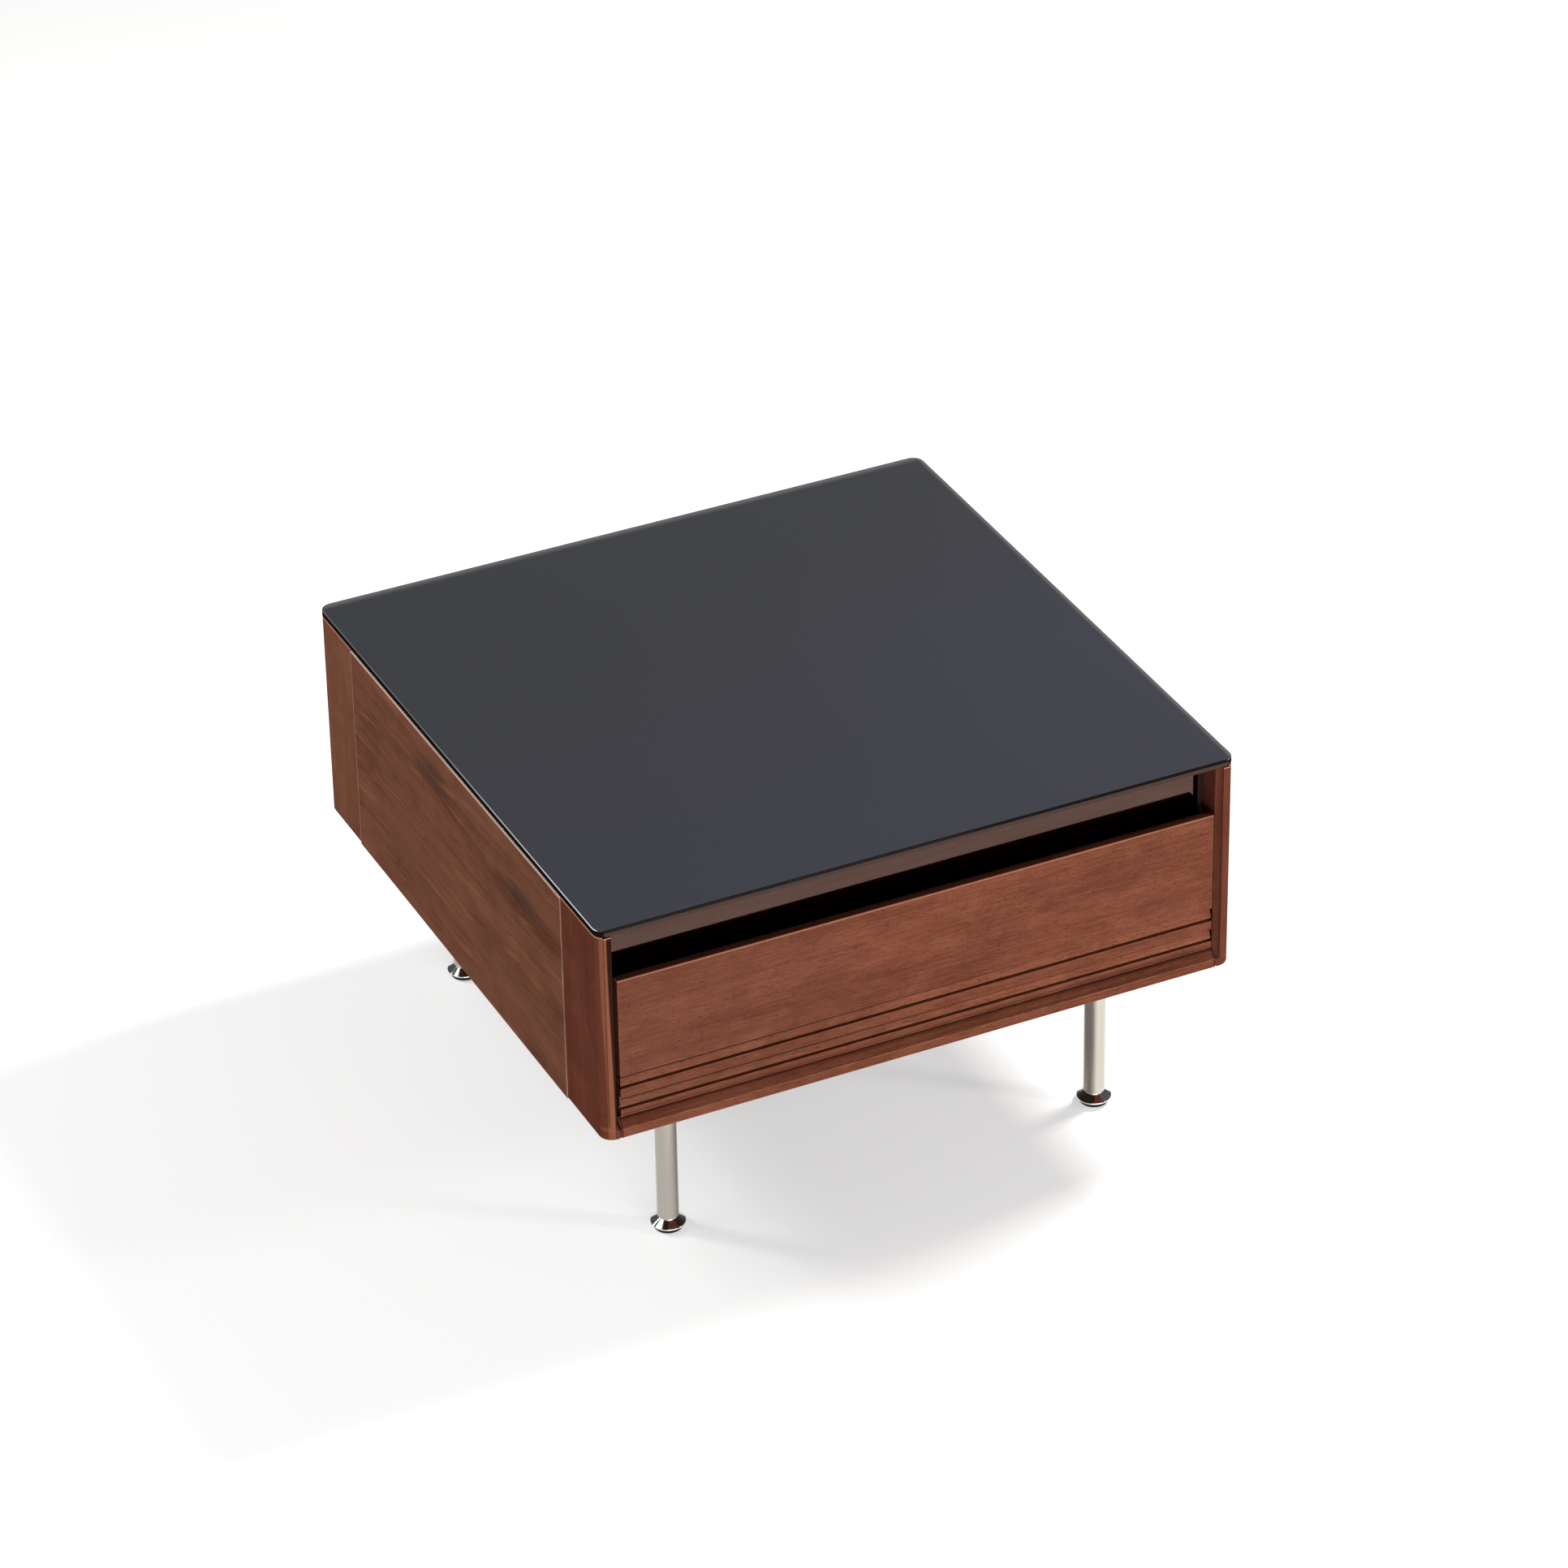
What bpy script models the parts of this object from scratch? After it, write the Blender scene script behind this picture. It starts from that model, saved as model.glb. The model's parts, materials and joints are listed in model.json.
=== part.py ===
"""Side table with one drawer: walnut box on four steel tube legs, dark glass top.

World frame: origin on the floor under the middle of the table, +Z up, the drawer faces -Y.
All lengths are metres. Pieces that touch keep GAP between their faces.
"""

import math

import bmesh
import bpy
from mathutils import Matrix

# ---- driving dimensions -------------------------------------------------------------------
WIDTH = 0.600            # over the two side panels
DEPTH = 0.600            # over the front and rear posts
UNDERSIDE = 0.1645       # floor to the bottom of the wooden box
BOX_HEIGHT = 0.2023      # the wooden box itself
GLASS_THICKNESS = 0.0060
GLASS_LIFT = 0.0007      # clear pads hold the glass this far above the wood
GAP = 0.0003             # between pieces that touch
EDGE = 0.0007            # eased edge of a wooden board
GLASS_ROUND = 0.0110     # corner radius of the pane
GLASS_ARRIS = 0.0007
GLASS_PAD_RADIUS = 0.0048
GLASS_PAD_SEAT = 0.0008  # depth of its recess in the post

PANEL_PROUD = 0.0008     # side panels stand out from the posts
BOARD = 0.0160           # side panel thickness
POST_DEPTH = 0.0745
POST_ROUND = 0.0120      # outer upright corner of each post
POST_CHAMFER = 0.0085    # long bevel on the inner front edge
CHAMFER_START = 0.0085   # above the underside
CHAMFER_RUNOUT = 0.0115  # height over which the bevel fades in

RAIL_HEIGHT = 0.0170
RAIL_DEPTH = 0.0240
RAIL_BEVEL = 0.0080

FRONT_SETBACK = 0.00455  # drawer front behind the posts' front faces
FRONT_THICKNESS = 0.0200
FRONT_HALF = 0.2812
FRONT_BOTTOM = 0.0185    # heights of the drawer front above the underside
FRONT_TOP = 0.1544

FASCIA_SETBACK = 0.0264
FASCIA_THICKNESS = 0.0030
FASCIA_HALF = 0.2770
FASCIA_BOTTOM = 0.1340   # just clears the drawer box
STRETCHER = 0.0180

BASE_LOW = 0.0050        # bottom panel, above the underside
BASE_HIGH = 0.0170
BACK_THICKNESS = 0.0120
BACK_INSET = 0.0020

DRAWER_SIDE = 0.0120
DRAWER_LOW = 0.0240
DRAWER_HIGH = 0.1300
DRAWER_FLOOR = 0.0060
DRAWER_TONGUE = 0.0030   # thinner rim of the floor, which runs in the grooves
DRAWER_GROOVE = 0.0050
DRAWER_FLOOR_HEIGHT = 0.0310
FIXING_X = 0.1800        # screws that hold the drawer front to its box
FIXING_HEIGHT = 0.0800
FIXING_HOLE = 0.0024
FIXING_DEPTH = 0.0085

RUNNER_LENGTH = 0.4500
RUNNER_HEIGHT = 0.0770   # middle of the runners above the underside
RUNNER_WIDTH = 0.0127
RUNNER_START = 0.0030    # behind the drawer box's front
CABINET_HALF = 0.0225    # half heights of the three members
MIDDLE_HALF = 0.0172
INNER_HALF = 0.0125

LEG_X = 0.2082
LEG_Y = 0.2207
TUBE_RADIUS = 0.0095
TUBE_WALL = 0.0015
TUBE_LOW = 0.0123        # lower end of the tube above the floor
FOOT_RADIUS = 0.0156
FOOT_COLLAR = 0.0084      # radius of the foot's neck under the tube
SOLE_RADIUS = 0.0123      # on the floor; it flares upwards
SOLE_FLARE = 0.0142
SOLE_THICKNESS = 0.0044
PLATE_RADIUS = 0.0280
PLATE_THICKNESS = 0.0030
BOLT_RADIUS = 0.0038
BOLT_HOLE = 0.0042
SPIGOT = 0.0180          # how far the plate reaches into the tube
INSERT = 0.0200
STUD_TOP = 0.0450

# ---- derived places -----------------------------------------------------------------------
BOX_TOP = UNDERSIDE + BOX_HEIGHT
PANEL_OUT = WIDTH / 2
POST_OUT = PANEL_OUT - PANEL_PROUD
INNER = PANEL_OUT - BOARD
FRONT = -DEPTH / 2
REAR = DEPTH / 2
SEAM = DEPTH / 2 - POST_DEPTH
GLASS_HALF = POST_OUT + 0.0001
FRONT_FACE = FRONT + FRONT_SETBACK
FRONT_BACK = FRONT_FACE + FRONT_THICKNESS
FASCIA_FACE = FRONT + FASCIA_SETBACK
BACK_FACE = REAR - BACK_INSET - BACK_THICKNESS
BOX_OUT = INNER - GAP - RUNNER_WIDTH - 2 * GAP
BOX_IN = BOX_OUT - DRAWER_SIDE
BOX_FRONT = FRONT_BACK + GAP
BOX_REAR = BOX_FRONT + RUNNER_LENGTH
PLATE_TOP = UNDERSIDE + BASE_LOW - GAP
PLATE_LOW = PLATE_TOP - PLATE_THICKNESS
TUBE_TOP = PLATE_LOW - GAP
SIDES = (("left", -1), ("right", 1))
CORNERS = (("front_left", -1, -1), ("front_right", 1, -1), ("rear_left", -1, 1), ("rear_right", 1, 1))


# ---- materials ----------------------------------------------------------------------------
def material(name, colour, roughness, metallic=0.0):
    found = bpy.data.materials.get(name)
    if found:
        return found
    made = bpy.data.materials.new(name)
    made.use_nodes = True
    shader = made.node_tree.nodes["Principled BSDF"]
    shader.inputs["Base Color"].default_value = (*colour, 1.0)
    shader.inputs["Roughness"].default_value = roughness
    shader.inputs["Metallic"].default_value = metallic
    made.diffuse_color = (*colour, 1.0)
    return made


def post_wood():
    return material("post_wood", (0.105, 0.034, 0.018), 0.42)


def panel_wood():
    return material("panel_wood", (0.130, 0.048, 0.028), 0.45)


def front_wood():
    return material("front_wood", (0.215, 0.070, 0.036), 0.45)


def box_wood():
    return material("box_wood", (0.42, 0.29, 0.18), 0.6)


def board():
    return material("dark_board", (0.045, 0.028, 0.020), 0.6)


def dark_glass():
    return material("dark_glass", (0.052, 0.055, 0.066), 0.08)


def bronze_glass():
    return material("bronze_glass", (0.13, 0.095, 0.075), 0.06)


def clear_pad():
    return material("clear_pad", (0.75, 0.76, 0.76), 0.3)


def zinc():
    return material("zinc_steel", (0.62, 0.63, 0.65), 0.35, 1.0)


def brushed():
    return material("brushed_steel", (0.62, 0.59, 0.55), 0.3, 1.0)


def chrome():
    return material("chrome", (0.75, 0.75, 0.77), 0.08, 1.0)


def rubber():
    return material("rubber", (0.02, 0.02, 0.02), 0.8)


def nylon():
    return material("nylon", (0.03, 0.03, 0.03), 0.5)


# ---- shapes -------------------------------------------------------------------------------
def place(name, shape, look, at=(0.0, 0.0, 0.0), smooth=False):
    """Turn a bmesh, modelled about its own origin, into a named object at a place."""
    bmesh.ops.recalc_face_normals(shape, faces=shape.faces)
    mesh = bpy.data.meshes.new(name)
    shape.to_mesh(mesh)
    shape.free()
    mesh.materials.append(look)
    if smooth:
        mesh.shade_smooth()
        mesh.set_sharp_from_angle(angle=math.radians(35))
    made = bpy.data.objects.new(name, mesh)
    made.location = at
    bpy.context.scene.collection.objects.link(made)
    return made


def block(low, high, ease=0.0):
    """A box between two corners, its edges eased by a small chamfer."""
    shape = bmesh.new()
    size = [high[i] - low[i] for i in range(3)]
    middle = [(high[i] + low[i]) / 2 for i in range(3)]
    bmesh.ops.create_cube(shape, size=1.0, matrix=Matrix.Translation(middle) @ Matrix.Diagonal((*size, 1.0)))
    if ease:
        bmesh.ops.bevel(shape, geom=shape.edges, offset=ease, segments=1, affect="EDGES")
    return shape


def prism(outline, low, high, axis="Z"):
    """Extrude a closed outline. Its points are (y, z) for axis X, (x, z) for Y, (x, y) for Z."""
    shape = bmesh.new()
    spots = {
        "X": lambda a, b, t: (t, a, b),
        "Y": lambda a, b, t: (a, t, b),
        "Z": lambda a, b, t: (a, b, t),
    }[axis]
    near = [shape.verts.new(spots(a, b, low)) for a, b in outline]
    far = [shape.verts.new(spots(a, b, high)) for a, b in outline]
    shape.faces.new(near)
    shape.faces.new(list(reversed(far)))
    for i in range(len(outline)):
        j = (i + 1) % len(outline)
        shape.faces.new((near[i], far[i], far[j], near[j]))
    return shape


def turned(profile, segments):
    """Revolve a closed (radius, height) profile about Z. Points on the axis share one vertex."""
    shape = bmesh.new()
    rings = []
    for radius, height in profile:
        if radius == 0:
            rings.append([shape.verts.new((0, 0, height))] * segments)
            continue
        turns = [math.tau * k / segments for k in range(segments)]
        rings.append([shape.verts.new((radius * math.cos(t), radius * math.sin(t), height)) for t in turns])
    for i in range(len(profile)):
        here, after = rings[i], rings[(i + 1) % len(profile)]
        for k in range(segments):
            n = (k + 1) % segments
            corners = dict.fromkeys((here[k], here[n], after[n], after[k]))
            if len(corners) > 2:
                shape.faces.new(list(corners))
    return shape


def rod(radius, low, high, centre=(0.0, 0.0), segments=16, axis="Z"):
    """A plain round bar from low to high along an axis, centred on the other two coordinates."""
    shape = turned([(0, low), (radius, low), (radius, high), (0, high)], segments)
    if axis == "Y":
        turn = Matrix(((1, 0, 0, centre[0]), (0, 0, 1, 0), (0, -1, 0, centre[1]), (0, 0, 0, 1)))
        bmesh.ops.transform(shape, matrix=turn, verts=shape.verts)
    else:
        bmesh.ops.translate(shape, vec=(*centre, 0), verts=shape.verts)
    return shape


def cut(target, shapes):
    """Take closed shapes away from an object with exact Booleans."""
    for shape in shapes:
        cutter = place(target.name + "_cutter", shape, zinc())
        cutter.hide_render = True
        cutter.display_type = "WIRE"
        step = target.modifiers.new("cut", "BOOLEAN")
        step.operation = "DIFFERENCE"
        step.solver = "EXACT"
        step.object = cutter


def arc(centre, radii, start, end, steps):
    """Points along an ellipse's arc, ends included; angles in degrees."""
    points = []
    for k in range(steps + 1):
        t = math.radians(start + (end - start) * k / steps)
        points.append((centre[0] + radii[0] * math.cos(t), centre[1] + radii[1] * math.sin(t)))
    return points


def mirrored(outline, sign):
    return [(sign * a, b) for a, b in outline]


# ---- carcass ------------------------------------------------------------------------------
def chamfer_cutter(sign):
    """Wedge that takes the post's inner front edge off, fading in above the rail."""
    reach = 0.0020
    steps = 6
    levels = []
    for k in range(steps + 1):
        t = math.radians(90 * k / steps)
        levels.append((CHAMFER_START + CHAMFER_RUNOUT * (1 - math.cos(t)), POST_CHAMFER * math.sin(t)))
    levels[0] = (CHAMFER_START, -reach)
    levels.append((BOX_HEIGHT + reach, POST_CHAMFER))
    shape = bmesh.new()
    rings = []
    for height, size in levels:
        wedge = (
            (INNER - reach, FRONT - reach),
            (INNER + size + reach, FRONT - reach),
            (INNER - reach, FRONT + size + reach),
        )
        rings.append([shape.verts.new((sign * x, y, UNDERSIDE + height)) for x, y in wedge])
    shape.faces.new(rings[0])
    shape.faces.new(list(reversed(rings[-1])))
    for low, high in zip(rings, rings[1:]):
        for k in range(3):
            n = (k + 1) % 3
            shape.faces.new((low[k], low[n], high[n], high[k]))
    return shape


def post(name, sign, front):
    """Solid upright with a rounded outer corner; the front ones also get the long bevel."""
    near, far = (FRONT, -SEAM - GAP / 2) if front else (REAR, SEAM + GAP / 2)
    way = -1 if front else 1
    centre = (POST_OUT - POST_ROUND, near - way * POST_ROUND)
    outline = [(INNER + EDGE, near)]
    outline += arc(centre, (POST_ROUND, way * POST_ROUND), 90, 0, 8)
    outline += [(POST_OUT, far + way * EDGE), (POST_OUT - EDGE, far)]
    outline += [(INNER, far), (INNER, near - way * EDGE)]
    shape = prism(mirrored(outline, sign), UNDERSIDE, BOX_TOP)
    rims = [e for e in shape.edges if abs(e.verts[0].co.z - e.verts[1].co.z) < GAP]
    bmesh.ops.bevel(shape, geom=rims, offset=EDGE, segments=1, affect="EDGES")
    made = place(name, shape, post_wood(), smooth=True)
    cuts = [pad_recess(sign, way)]
    if front:
        cuts.append(chamfer_cutter(sign))
    cut(made, cuts)


def pad_place(sign, way):
    """Middle of the post's top, nearer to the seam than to the rounded corner."""
    from_seam = 0.0224
    return sign * (POST_OUT + INNER) / 2, way * (SEAM + from_seam)


def pad_recess(sign, way):
    radius = GLASS_PAD_RADIUS + 0.0005
    return rod(radius, BOX_TOP - GLASS_PAD_SEAT, BOX_TOP + GLASS_PAD_SEAT, pad_place(sign, way), 20)


def glass_pads():
    low = BOX_TOP - GLASS_PAD_SEAT + GAP
    high = BOX_TOP + GLASS_LIFT - GAP
    for corner, sign, way in CORNERS:
        pad = rod(GLASS_PAD_RADIUS, low, high, segments=20)
        place(f"glass_pad_{corner}", pad, clear_pad(), (*pad_place(sign, way), 0), smooth=True)


def glass_top():
    """Tempered pane with rounded corners and a narrow polished arris."""
    inset = GLASS_HALF - GLASS_ROUND
    outline = []
    for turn, (sx, sy) in enumerate(((1, 1), (-1, 1), (-1, -1), (1, -1))):
        outline += arc((sx * inset, sy * inset), (GLASS_ROUND, GLASS_ROUND), 90 * turn, 90 * turn + 90, 6)
    low = BOX_TOP + GLASS_LIFT
    shape = prism(outline, low, low + GLASS_THICKNESS)
    rims = [e for e in shape.edges if abs(e.verts[0].co.z - e.verts[1].co.z) < GAP]
    bmesh.ops.bevel(shape, geom=rims, offset=GLASS_ARRIS, segments=1, affect="EDGES")
    place("glass_top", shape, dark_glass(), smooth=True)


def side_panel(name, sign):
    near, far = sorted((sign * INNER, sign * PANEL_OUT))
    low = (near, -SEAM + GAP / 2, UNDERSIDE)
    high = (far, SEAM - GAP / 2, BOX_TOP)
    place(name, block(low, high, EDGE), panel_wood())


def bottom_front_rail():
    half = INNER - GAP
    low, top = UNDERSIDE, UNDERSIDE + RAIL_HEIGHT
    back = FRONT + RAIL_DEPTH
    soft = 0.0015
    outline = [(FRONT + soft, low), (back, low), (back, top), (FRONT + RAIL_BEVEL, top)]
    outline += [(FRONT + soft / 2, top - RAIL_BEVEL + soft / 2), (FRONT, top - RAIL_BEVEL - soft / 2)]
    outline += [(FRONT, low + soft)]
    shape = prism(outline, -half, half, "X")
    ends = [e for e in shape.edges if abs(e.verts[0].co.x - e.verts[1].co.x) < GAP]
    bmesh.ops.bevel(shape, geom=ends, offset=EDGE, segments=1, affect="EDGES")
    place("bottom_front_rail", shape, front_wood())


def bottom_panel():
    half = INNER - GAP
    low = (-half, FRONT + RAIL_DEPTH + GAP, UNDERSIDE + BASE_LOW)
    high = (half, BACK_FACE - GAP, UNDERSIDE + BASE_HIGH)
    made = place("bottom_panel", block(low, high), board())
    spots = [(sx * LEG_X, sy * LEG_Y) for _, sx, sy in CORNERS]
    cut(made, [rod(BOLT_HOLE, UNDERSIDE, UNDERSIDE + 2 * BASE_HIGH, spot, 20) for spot in spots])


def back_panel():
    half = INNER - GAP
    low = (-half, BACK_FACE, UNDERSIDE)
    high = (half, BACK_FACE + BACK_THICKNESS, BOX_TOP)
    place("back_panel", block(low, high, EDGE), panel_wood())


def fascia_strip():
    low = (-FASCIA_HALF, FASCIA_FACE, UNDERSIDE + FASCIA_BOTTOM)
    high = (FASCIA_HALF, FASCIA_FACE + FASCIA_THICKNESS, BOX_TOP)
    arris = 0.0004
    place("fascia_strip", block(low, high, arris), bronze_glass())


def stretchers():
    half = INNER - GAP
    front = FASCIA_FACE + FASCIA_THICKNESS + GAP
    rear = BACK_FACE - GAP - STRETCHER
    for name, near in (("top_stretcher_front", front), ("top_stretcher_rear", rear)):
        low = (-half, near, UNDERSIDE + FASCIA_BOTTOM)
        high = (half, near + STRETCHER, BOX_TOP)
        place(name, block(low, high, EDGE), board())
    return front + STRETCHER, rear


def corner_brackets(front_back, rear_front):
    """Folded steel angles that tie both stretchers to the sides."""
    arm, thick = 0.0240, 0.0020
    out = INNER - GAP
    low, high = BOX_TOP - 0.0300, BOX_TOP - 0.0100
    for corner, sign, way in CORNERS:
        face = front_back + GAP if way < 0 else rear_front - GAP
        outline = [(out, face), (out, face - way * arm), (out - thick, face - way * arm)]
        outline += [(out - thick, face - way * thick), (out - arm, face - way * thick), (out - arm, face)]
        place(f"corner_bracket_{corner}", prism(mirrored(outline, sign), low, high), zinc())


# ---- runners ------------------------------------------------------------------------------
def channel(web, tip, half, thick, lip):
    """C-section outline in x and z: web on one side, flanges to tip, lips turned inwards."""
    way = 1 if tip > web else -1
    upper = [(web, half), (tip, half)]
    if lip:
        upper += [(tip, half - lip), (tip - way * thick, half - lip), (tip - way * thick, half - thick)]
    else:
        upper += [(tip, half - thick)]
    upper += [(web + way * thick, half - thick)]
    lower = [(x, -z) for x, z in reversed(upper)]
    return upper + lower


def runner(name, outline, sign, start, look):
    middle = UNDERSIDE + RUNNER_HEIGHT
    spots = [(sign * x, z + middle) for x, z in outline]
    place(name, prism(spots, start, start + RUNNER_LENGTH, "Y"), look)


def runners():
    """Three-part ball-bearing slides; the members nest with room for the balls."""
    wall = INNER - GAP
    drawer = BOX_OUT + GAP
    heavy, light, lip = 0.0012, 0.0010, 0.0040
    cabinet = channel(wall, wall - 0.0100, CABINET_HALF, heavy, lip)
    middle = channel(wall - 0.0024, wall - 0.0095, MIDDLE_HALF, light, 0.0)
    inner = channel(drawer, drawer + 0.0080, INNER_HALF, heavy, 0.0)
    start = BOX_FRONT + RUNNER_START
    for side, sign in SIDES:
        runner(f"runner_cabinet_{side}", cabinet, sign, start, zinc())
        runner(f"runner_middle_{side}", middle, sign, start, zinc())
        runner(f"runner_drawer_{side}", inner, sign, start, zinc())


# ---- drawer -------------------------------------------------------------------------------
def drawer_front_outline():
    """Side view in y and z: two louvre grooves low on the face, finger roll behind the top."""
    slot, slot_depth = 0.0022, 0.0040
    recess, lip = 0.0036, 0.0010
    soft = 0.0010

    def face(depth, height):
        return FRONT_FACE + depth, UNDERSIDE + height

    outline = [face(soft, FRONT_BOTTOM), face(0, FRONT_BOTTOM + soft)]
    for slot_low, step_high in ((0.0263, 0.0387), (0.0472, 0.0599)):
        outline += [face(0, slot_low), face(slot_depth, slot_low), face(slot_depth, slot_low + slot)]
        outline += [face(lip, slot_low + slot), face(recess, step_high - recess / 6), face(0, step_high)]
    outline += [face(0, FRONT_TOP - soft), face(soft, FRONT_TOP)]
    roll = (FRONT_THICKNESS - 0.0040, 0.0200)
    centre = face(FRONT_THICKNESS - roll[0], FRONT_TOP - roll[1])
    outline += arc(centre, roll, 90, 0, 7)
    outline += [face(FRONT_THICKNESS, FRONT_BOTTOM)]
    return outline


def fixing_spots():
    return [(sign * FIXING_X, UNDERSIDE + FIXING_HEIGHT) for _, sign in SIDES]


def fixing_holes(low, high):
    return [rod(FIXING_HOLE, low, high, spot, 12, "Y") for spot in fixing_spots()]


def groove_heights():
    """Where the drawer floor's thin rim runs in the box's sides and front."""
    low = UNDERSIDE + DRAWER_FLOOR_HEIGHT - GAP
    return low, low + DRAWER_TONGUE + 2 * GAP


def drawer_front():
    made = place("drawer_front", prism(drawer_front_outline(), -FRONT_HALF, FRONT_HALF, "X"), front_wood())
    cut(made, fixing_holes(FRONT_BACK - FIXING_DEPTH, FRONT_BACK + FIXING_DEPTH))


def drawer_sides():
    groove_low, groove_high = groove_heights()
    for side, sign in SIDES:
        near, far = sorted((sign * BOX_IN, sign * BOX_OUT))
        low = (near, BOX_FRONT, UNDERSIDE + DRAWER_LOW)
        high = (far, BOX_REAR, UNDERSIDE + DRAWER_HIGH)
        made = place(f"drawer_side_{side}", block(low, high, EDGE), box_wood())
        near, far = sorted((sign * (BOX_IN - 0.0020), sign * (BOX_IN + DRAWER_GROOVE)))
        past = 0.0100
        cut(made, [block((near, BOX_FRONT - past, groove_low), (far, BOX_REAR + past, groove_high))])


def drawer_ends():
    half = BOX_IN - GAP
    groove_low, groove_high = groove_heights()
    low = (-half, BOX_FRONT, UNDERSIDE + DRAWER_LOW)
    high = (half, BOX_FRONT + DRAWER_SIDE, UNDERSIDE + DRAWER_HIGH)
    made = place("drawer_box_front", block(low, high, EDGE), box_wood())
    inside = BOX_FRONT + DRAWER_SIDE
    past = 0.0100
    groove = block((-half - past, inside - DRAWER_GROOVE, groove_low), (half + past, inside + past, groove_high))
    cut(made, [groove] + fixing_holes(BOX_FRONT - past, inside + past))
    low = (-half, BOX_REAR - DRAWER_SIDE, groove_high)
    high = (half, BOX_REAR, UNDERSIDE + DRAWER_HIGH)
    place("drawer_back", block(low, high, EDGE), box_wood())


def drawer_floor():
    """Panel with a thinner rim all round: in grooves on three sides, under the back on the fourth."""
    bottom = UNDERSIDE + DRAWER_FLOOR_HEIGHT
    half = BOX_IN + DRAWER_GROOVE - GAP
    rim = (-half, half, BOX_FRONT + DRAWER_SIDE - DRAWER_GROOVE + GAP, BOX_REAR - GAP)
    half = BOX_IN - GAP
    field = (-half, half, BOX_FRONT + DRAWER_SIDE + GAP, BOX_REAR - DRAWER_SIDE - GAP)
    step, top = bottom + DRAWER_TONGUE, bottom + DRAWER_FLOOR
    shape = bmesh.new()
    rings = []
    for (left, right, front, rear), height in ((rim, bottom), (rim, step), (field, step), (field, top)):
        corners = ((left, front), (right, front), (right, rear), (left, rear))
        rings.append([shape.verts.new((x, y, height)) for x, y in corners])
    shape.faces.new(list(reversed(rings[0])))
    shape.faces.new(rings[-1])
    for below, above in zip(rings, rings[1:]):
        for k in range(4):
            n = (k + 1) % 4
            shape.faces.new((below[k], below[n], above[n], above[k]))
    place("drawer_floor", shape, box_wood())


def front_fixing_screws():
    """Pan heads inside the box, shanks through it into the drawer front."""
    head, seat = 0.0022, BOX_FRONT + DRAWER_SIDE + GAP
    profile = [(0, -0.0190), (0.0012, -0.0190), (0.0020, -0.0170), (0.0020, 0), (0.0042, 0)]
    profile += [(0.0042, head * 0.5), (0.0030, head), (0, head)]
    for (side, _), (x, z) in zip(SIDES, fixing_spots()):
        screw = turned(profile, 16)
        bmesh.ops.rotate(screw, matrix=Matrix.Rotation(math.radians(-90), 3, "X"), verts=screw.verts)
        place(f"front_fixing_screw_{side}", screw, zinc(), (x, seat, z), smooth=True)


# ---- legs ---------------------------------------------------------------------------------
def leg_plate(name, sx, sy):
    """Round flange under the bottom panel with a bored spigot that fills the tube's top."""
    spigot = TUBE_RADIUS - TUBE_WALL - GAP
    ease = 0.0005
    profile = [(BOLT_HOLE, PLATE_LOW - SPIGOT), (spigot, PLATE_LOW - SPIGOT), (spigot, PLATE_LOW)]
    profile += [(PLATE_RADIUS - ease, PLATE_LOW), (PLATE_RADIUS, PLATE_LOW + ease)]
    profile += [(PLATE_RADIUS, PLATE_TOP), (BOLT_HOLE, PLATE_TOP)]
    place(name, turned(profile, 40), zinc(), (sx * LEG_X, sy * LEG_Y, 0), smooth=True)


def leg_bolt(name, sx, sy):
    """Dropped through the bottom panel from inside, screwed down into the plate's spigot."""
    seat = UNDERSIDE + BASE_HIGH + GAP
    shank, point, head, wide = 0.0300, 0.0010, 0.0030, 0.0070
    tip = seat - shank
    profile = [(0, tip), (BOLT_RADIUS - point / 2, tip), (BOLT_RADIUS, tip + point)]
    profile += [(BOLT_RADIUS, seat), (wide, seat), (wide, seat + head / 2), (wide - head / 2, seat + head)]
    profile += [(0, seat + head)]
    place(name, turned(profile, 24), zinc(), (sx * LEG_X, sy * LEG_Y, 0), smooth=True)


def leg_tube(name, sx, sy):
    bore = TUBE_RADIUS - TUBE_WALL
    ease = 0.0004
    profile = [(bore, TUBE_LOW), (TUBE_RADIUS - ease, TUBE_LOW), (TUBE_RADIUS, TUBE_LOW + ease)]
    profile += [(TUBE_RADIUS, TUBE_TOP), (bore, TUBE_TOP)]
    place(name, turned(profile, 40), brushed(), (sx * LEG_X, sy * LEG_Y, 0), smooth=True)


def leg_insert(name, sx, sy):
    """Threaded plug in the lower end of the tube that takes the foot's stud."""
    out = TUBE_RADIUS - TUBE_WALL - GAP
    low = TUBE_LOW + GAP
    high = low + INSERT
    profile = [(BOLT_HOLE, low), (out, low), (out, high), (BOLT_HOLE, high)]
    place(name, turned(profile, 28), nylon(), (sx * LEG_X, sy * LEG_Y, 0), smooth=True)


def foot(name, sx, sy):
    """Turned glide: thin disc with a conical top, a short neck and its stud in one piece."""
    low = SOLE_THICKNESS + GAP
    rim = low + 0.0014
    collar = TUBE_LOW - GAP
    neck = 0.0008
    ease = 0.0005
    profile = [(0, low), (FOOT_RADIUS - ease, low), (FOOT_RADIUS, low + ease)]
    profile += [(FOOT_RADIUS, rim - ease), (FOOT_RADIUS - ease, rim)]
    profile += [(FOOT_COLLAR, collar - neck), (FOOT_COLLAR, collar), (BOLT_RADIUS, collar)]
    profile += [(BOLT_RADIUS, STUD_TOP - 0.0010), (BOLT_RADIUS - 0.0008, STUD_TOP), (0, STUD_TOP)]
    place(name, turned(profile, 40), chrome(), (sx * LEG_X, sy * LEG_Y, 0), smooth=True)


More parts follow.
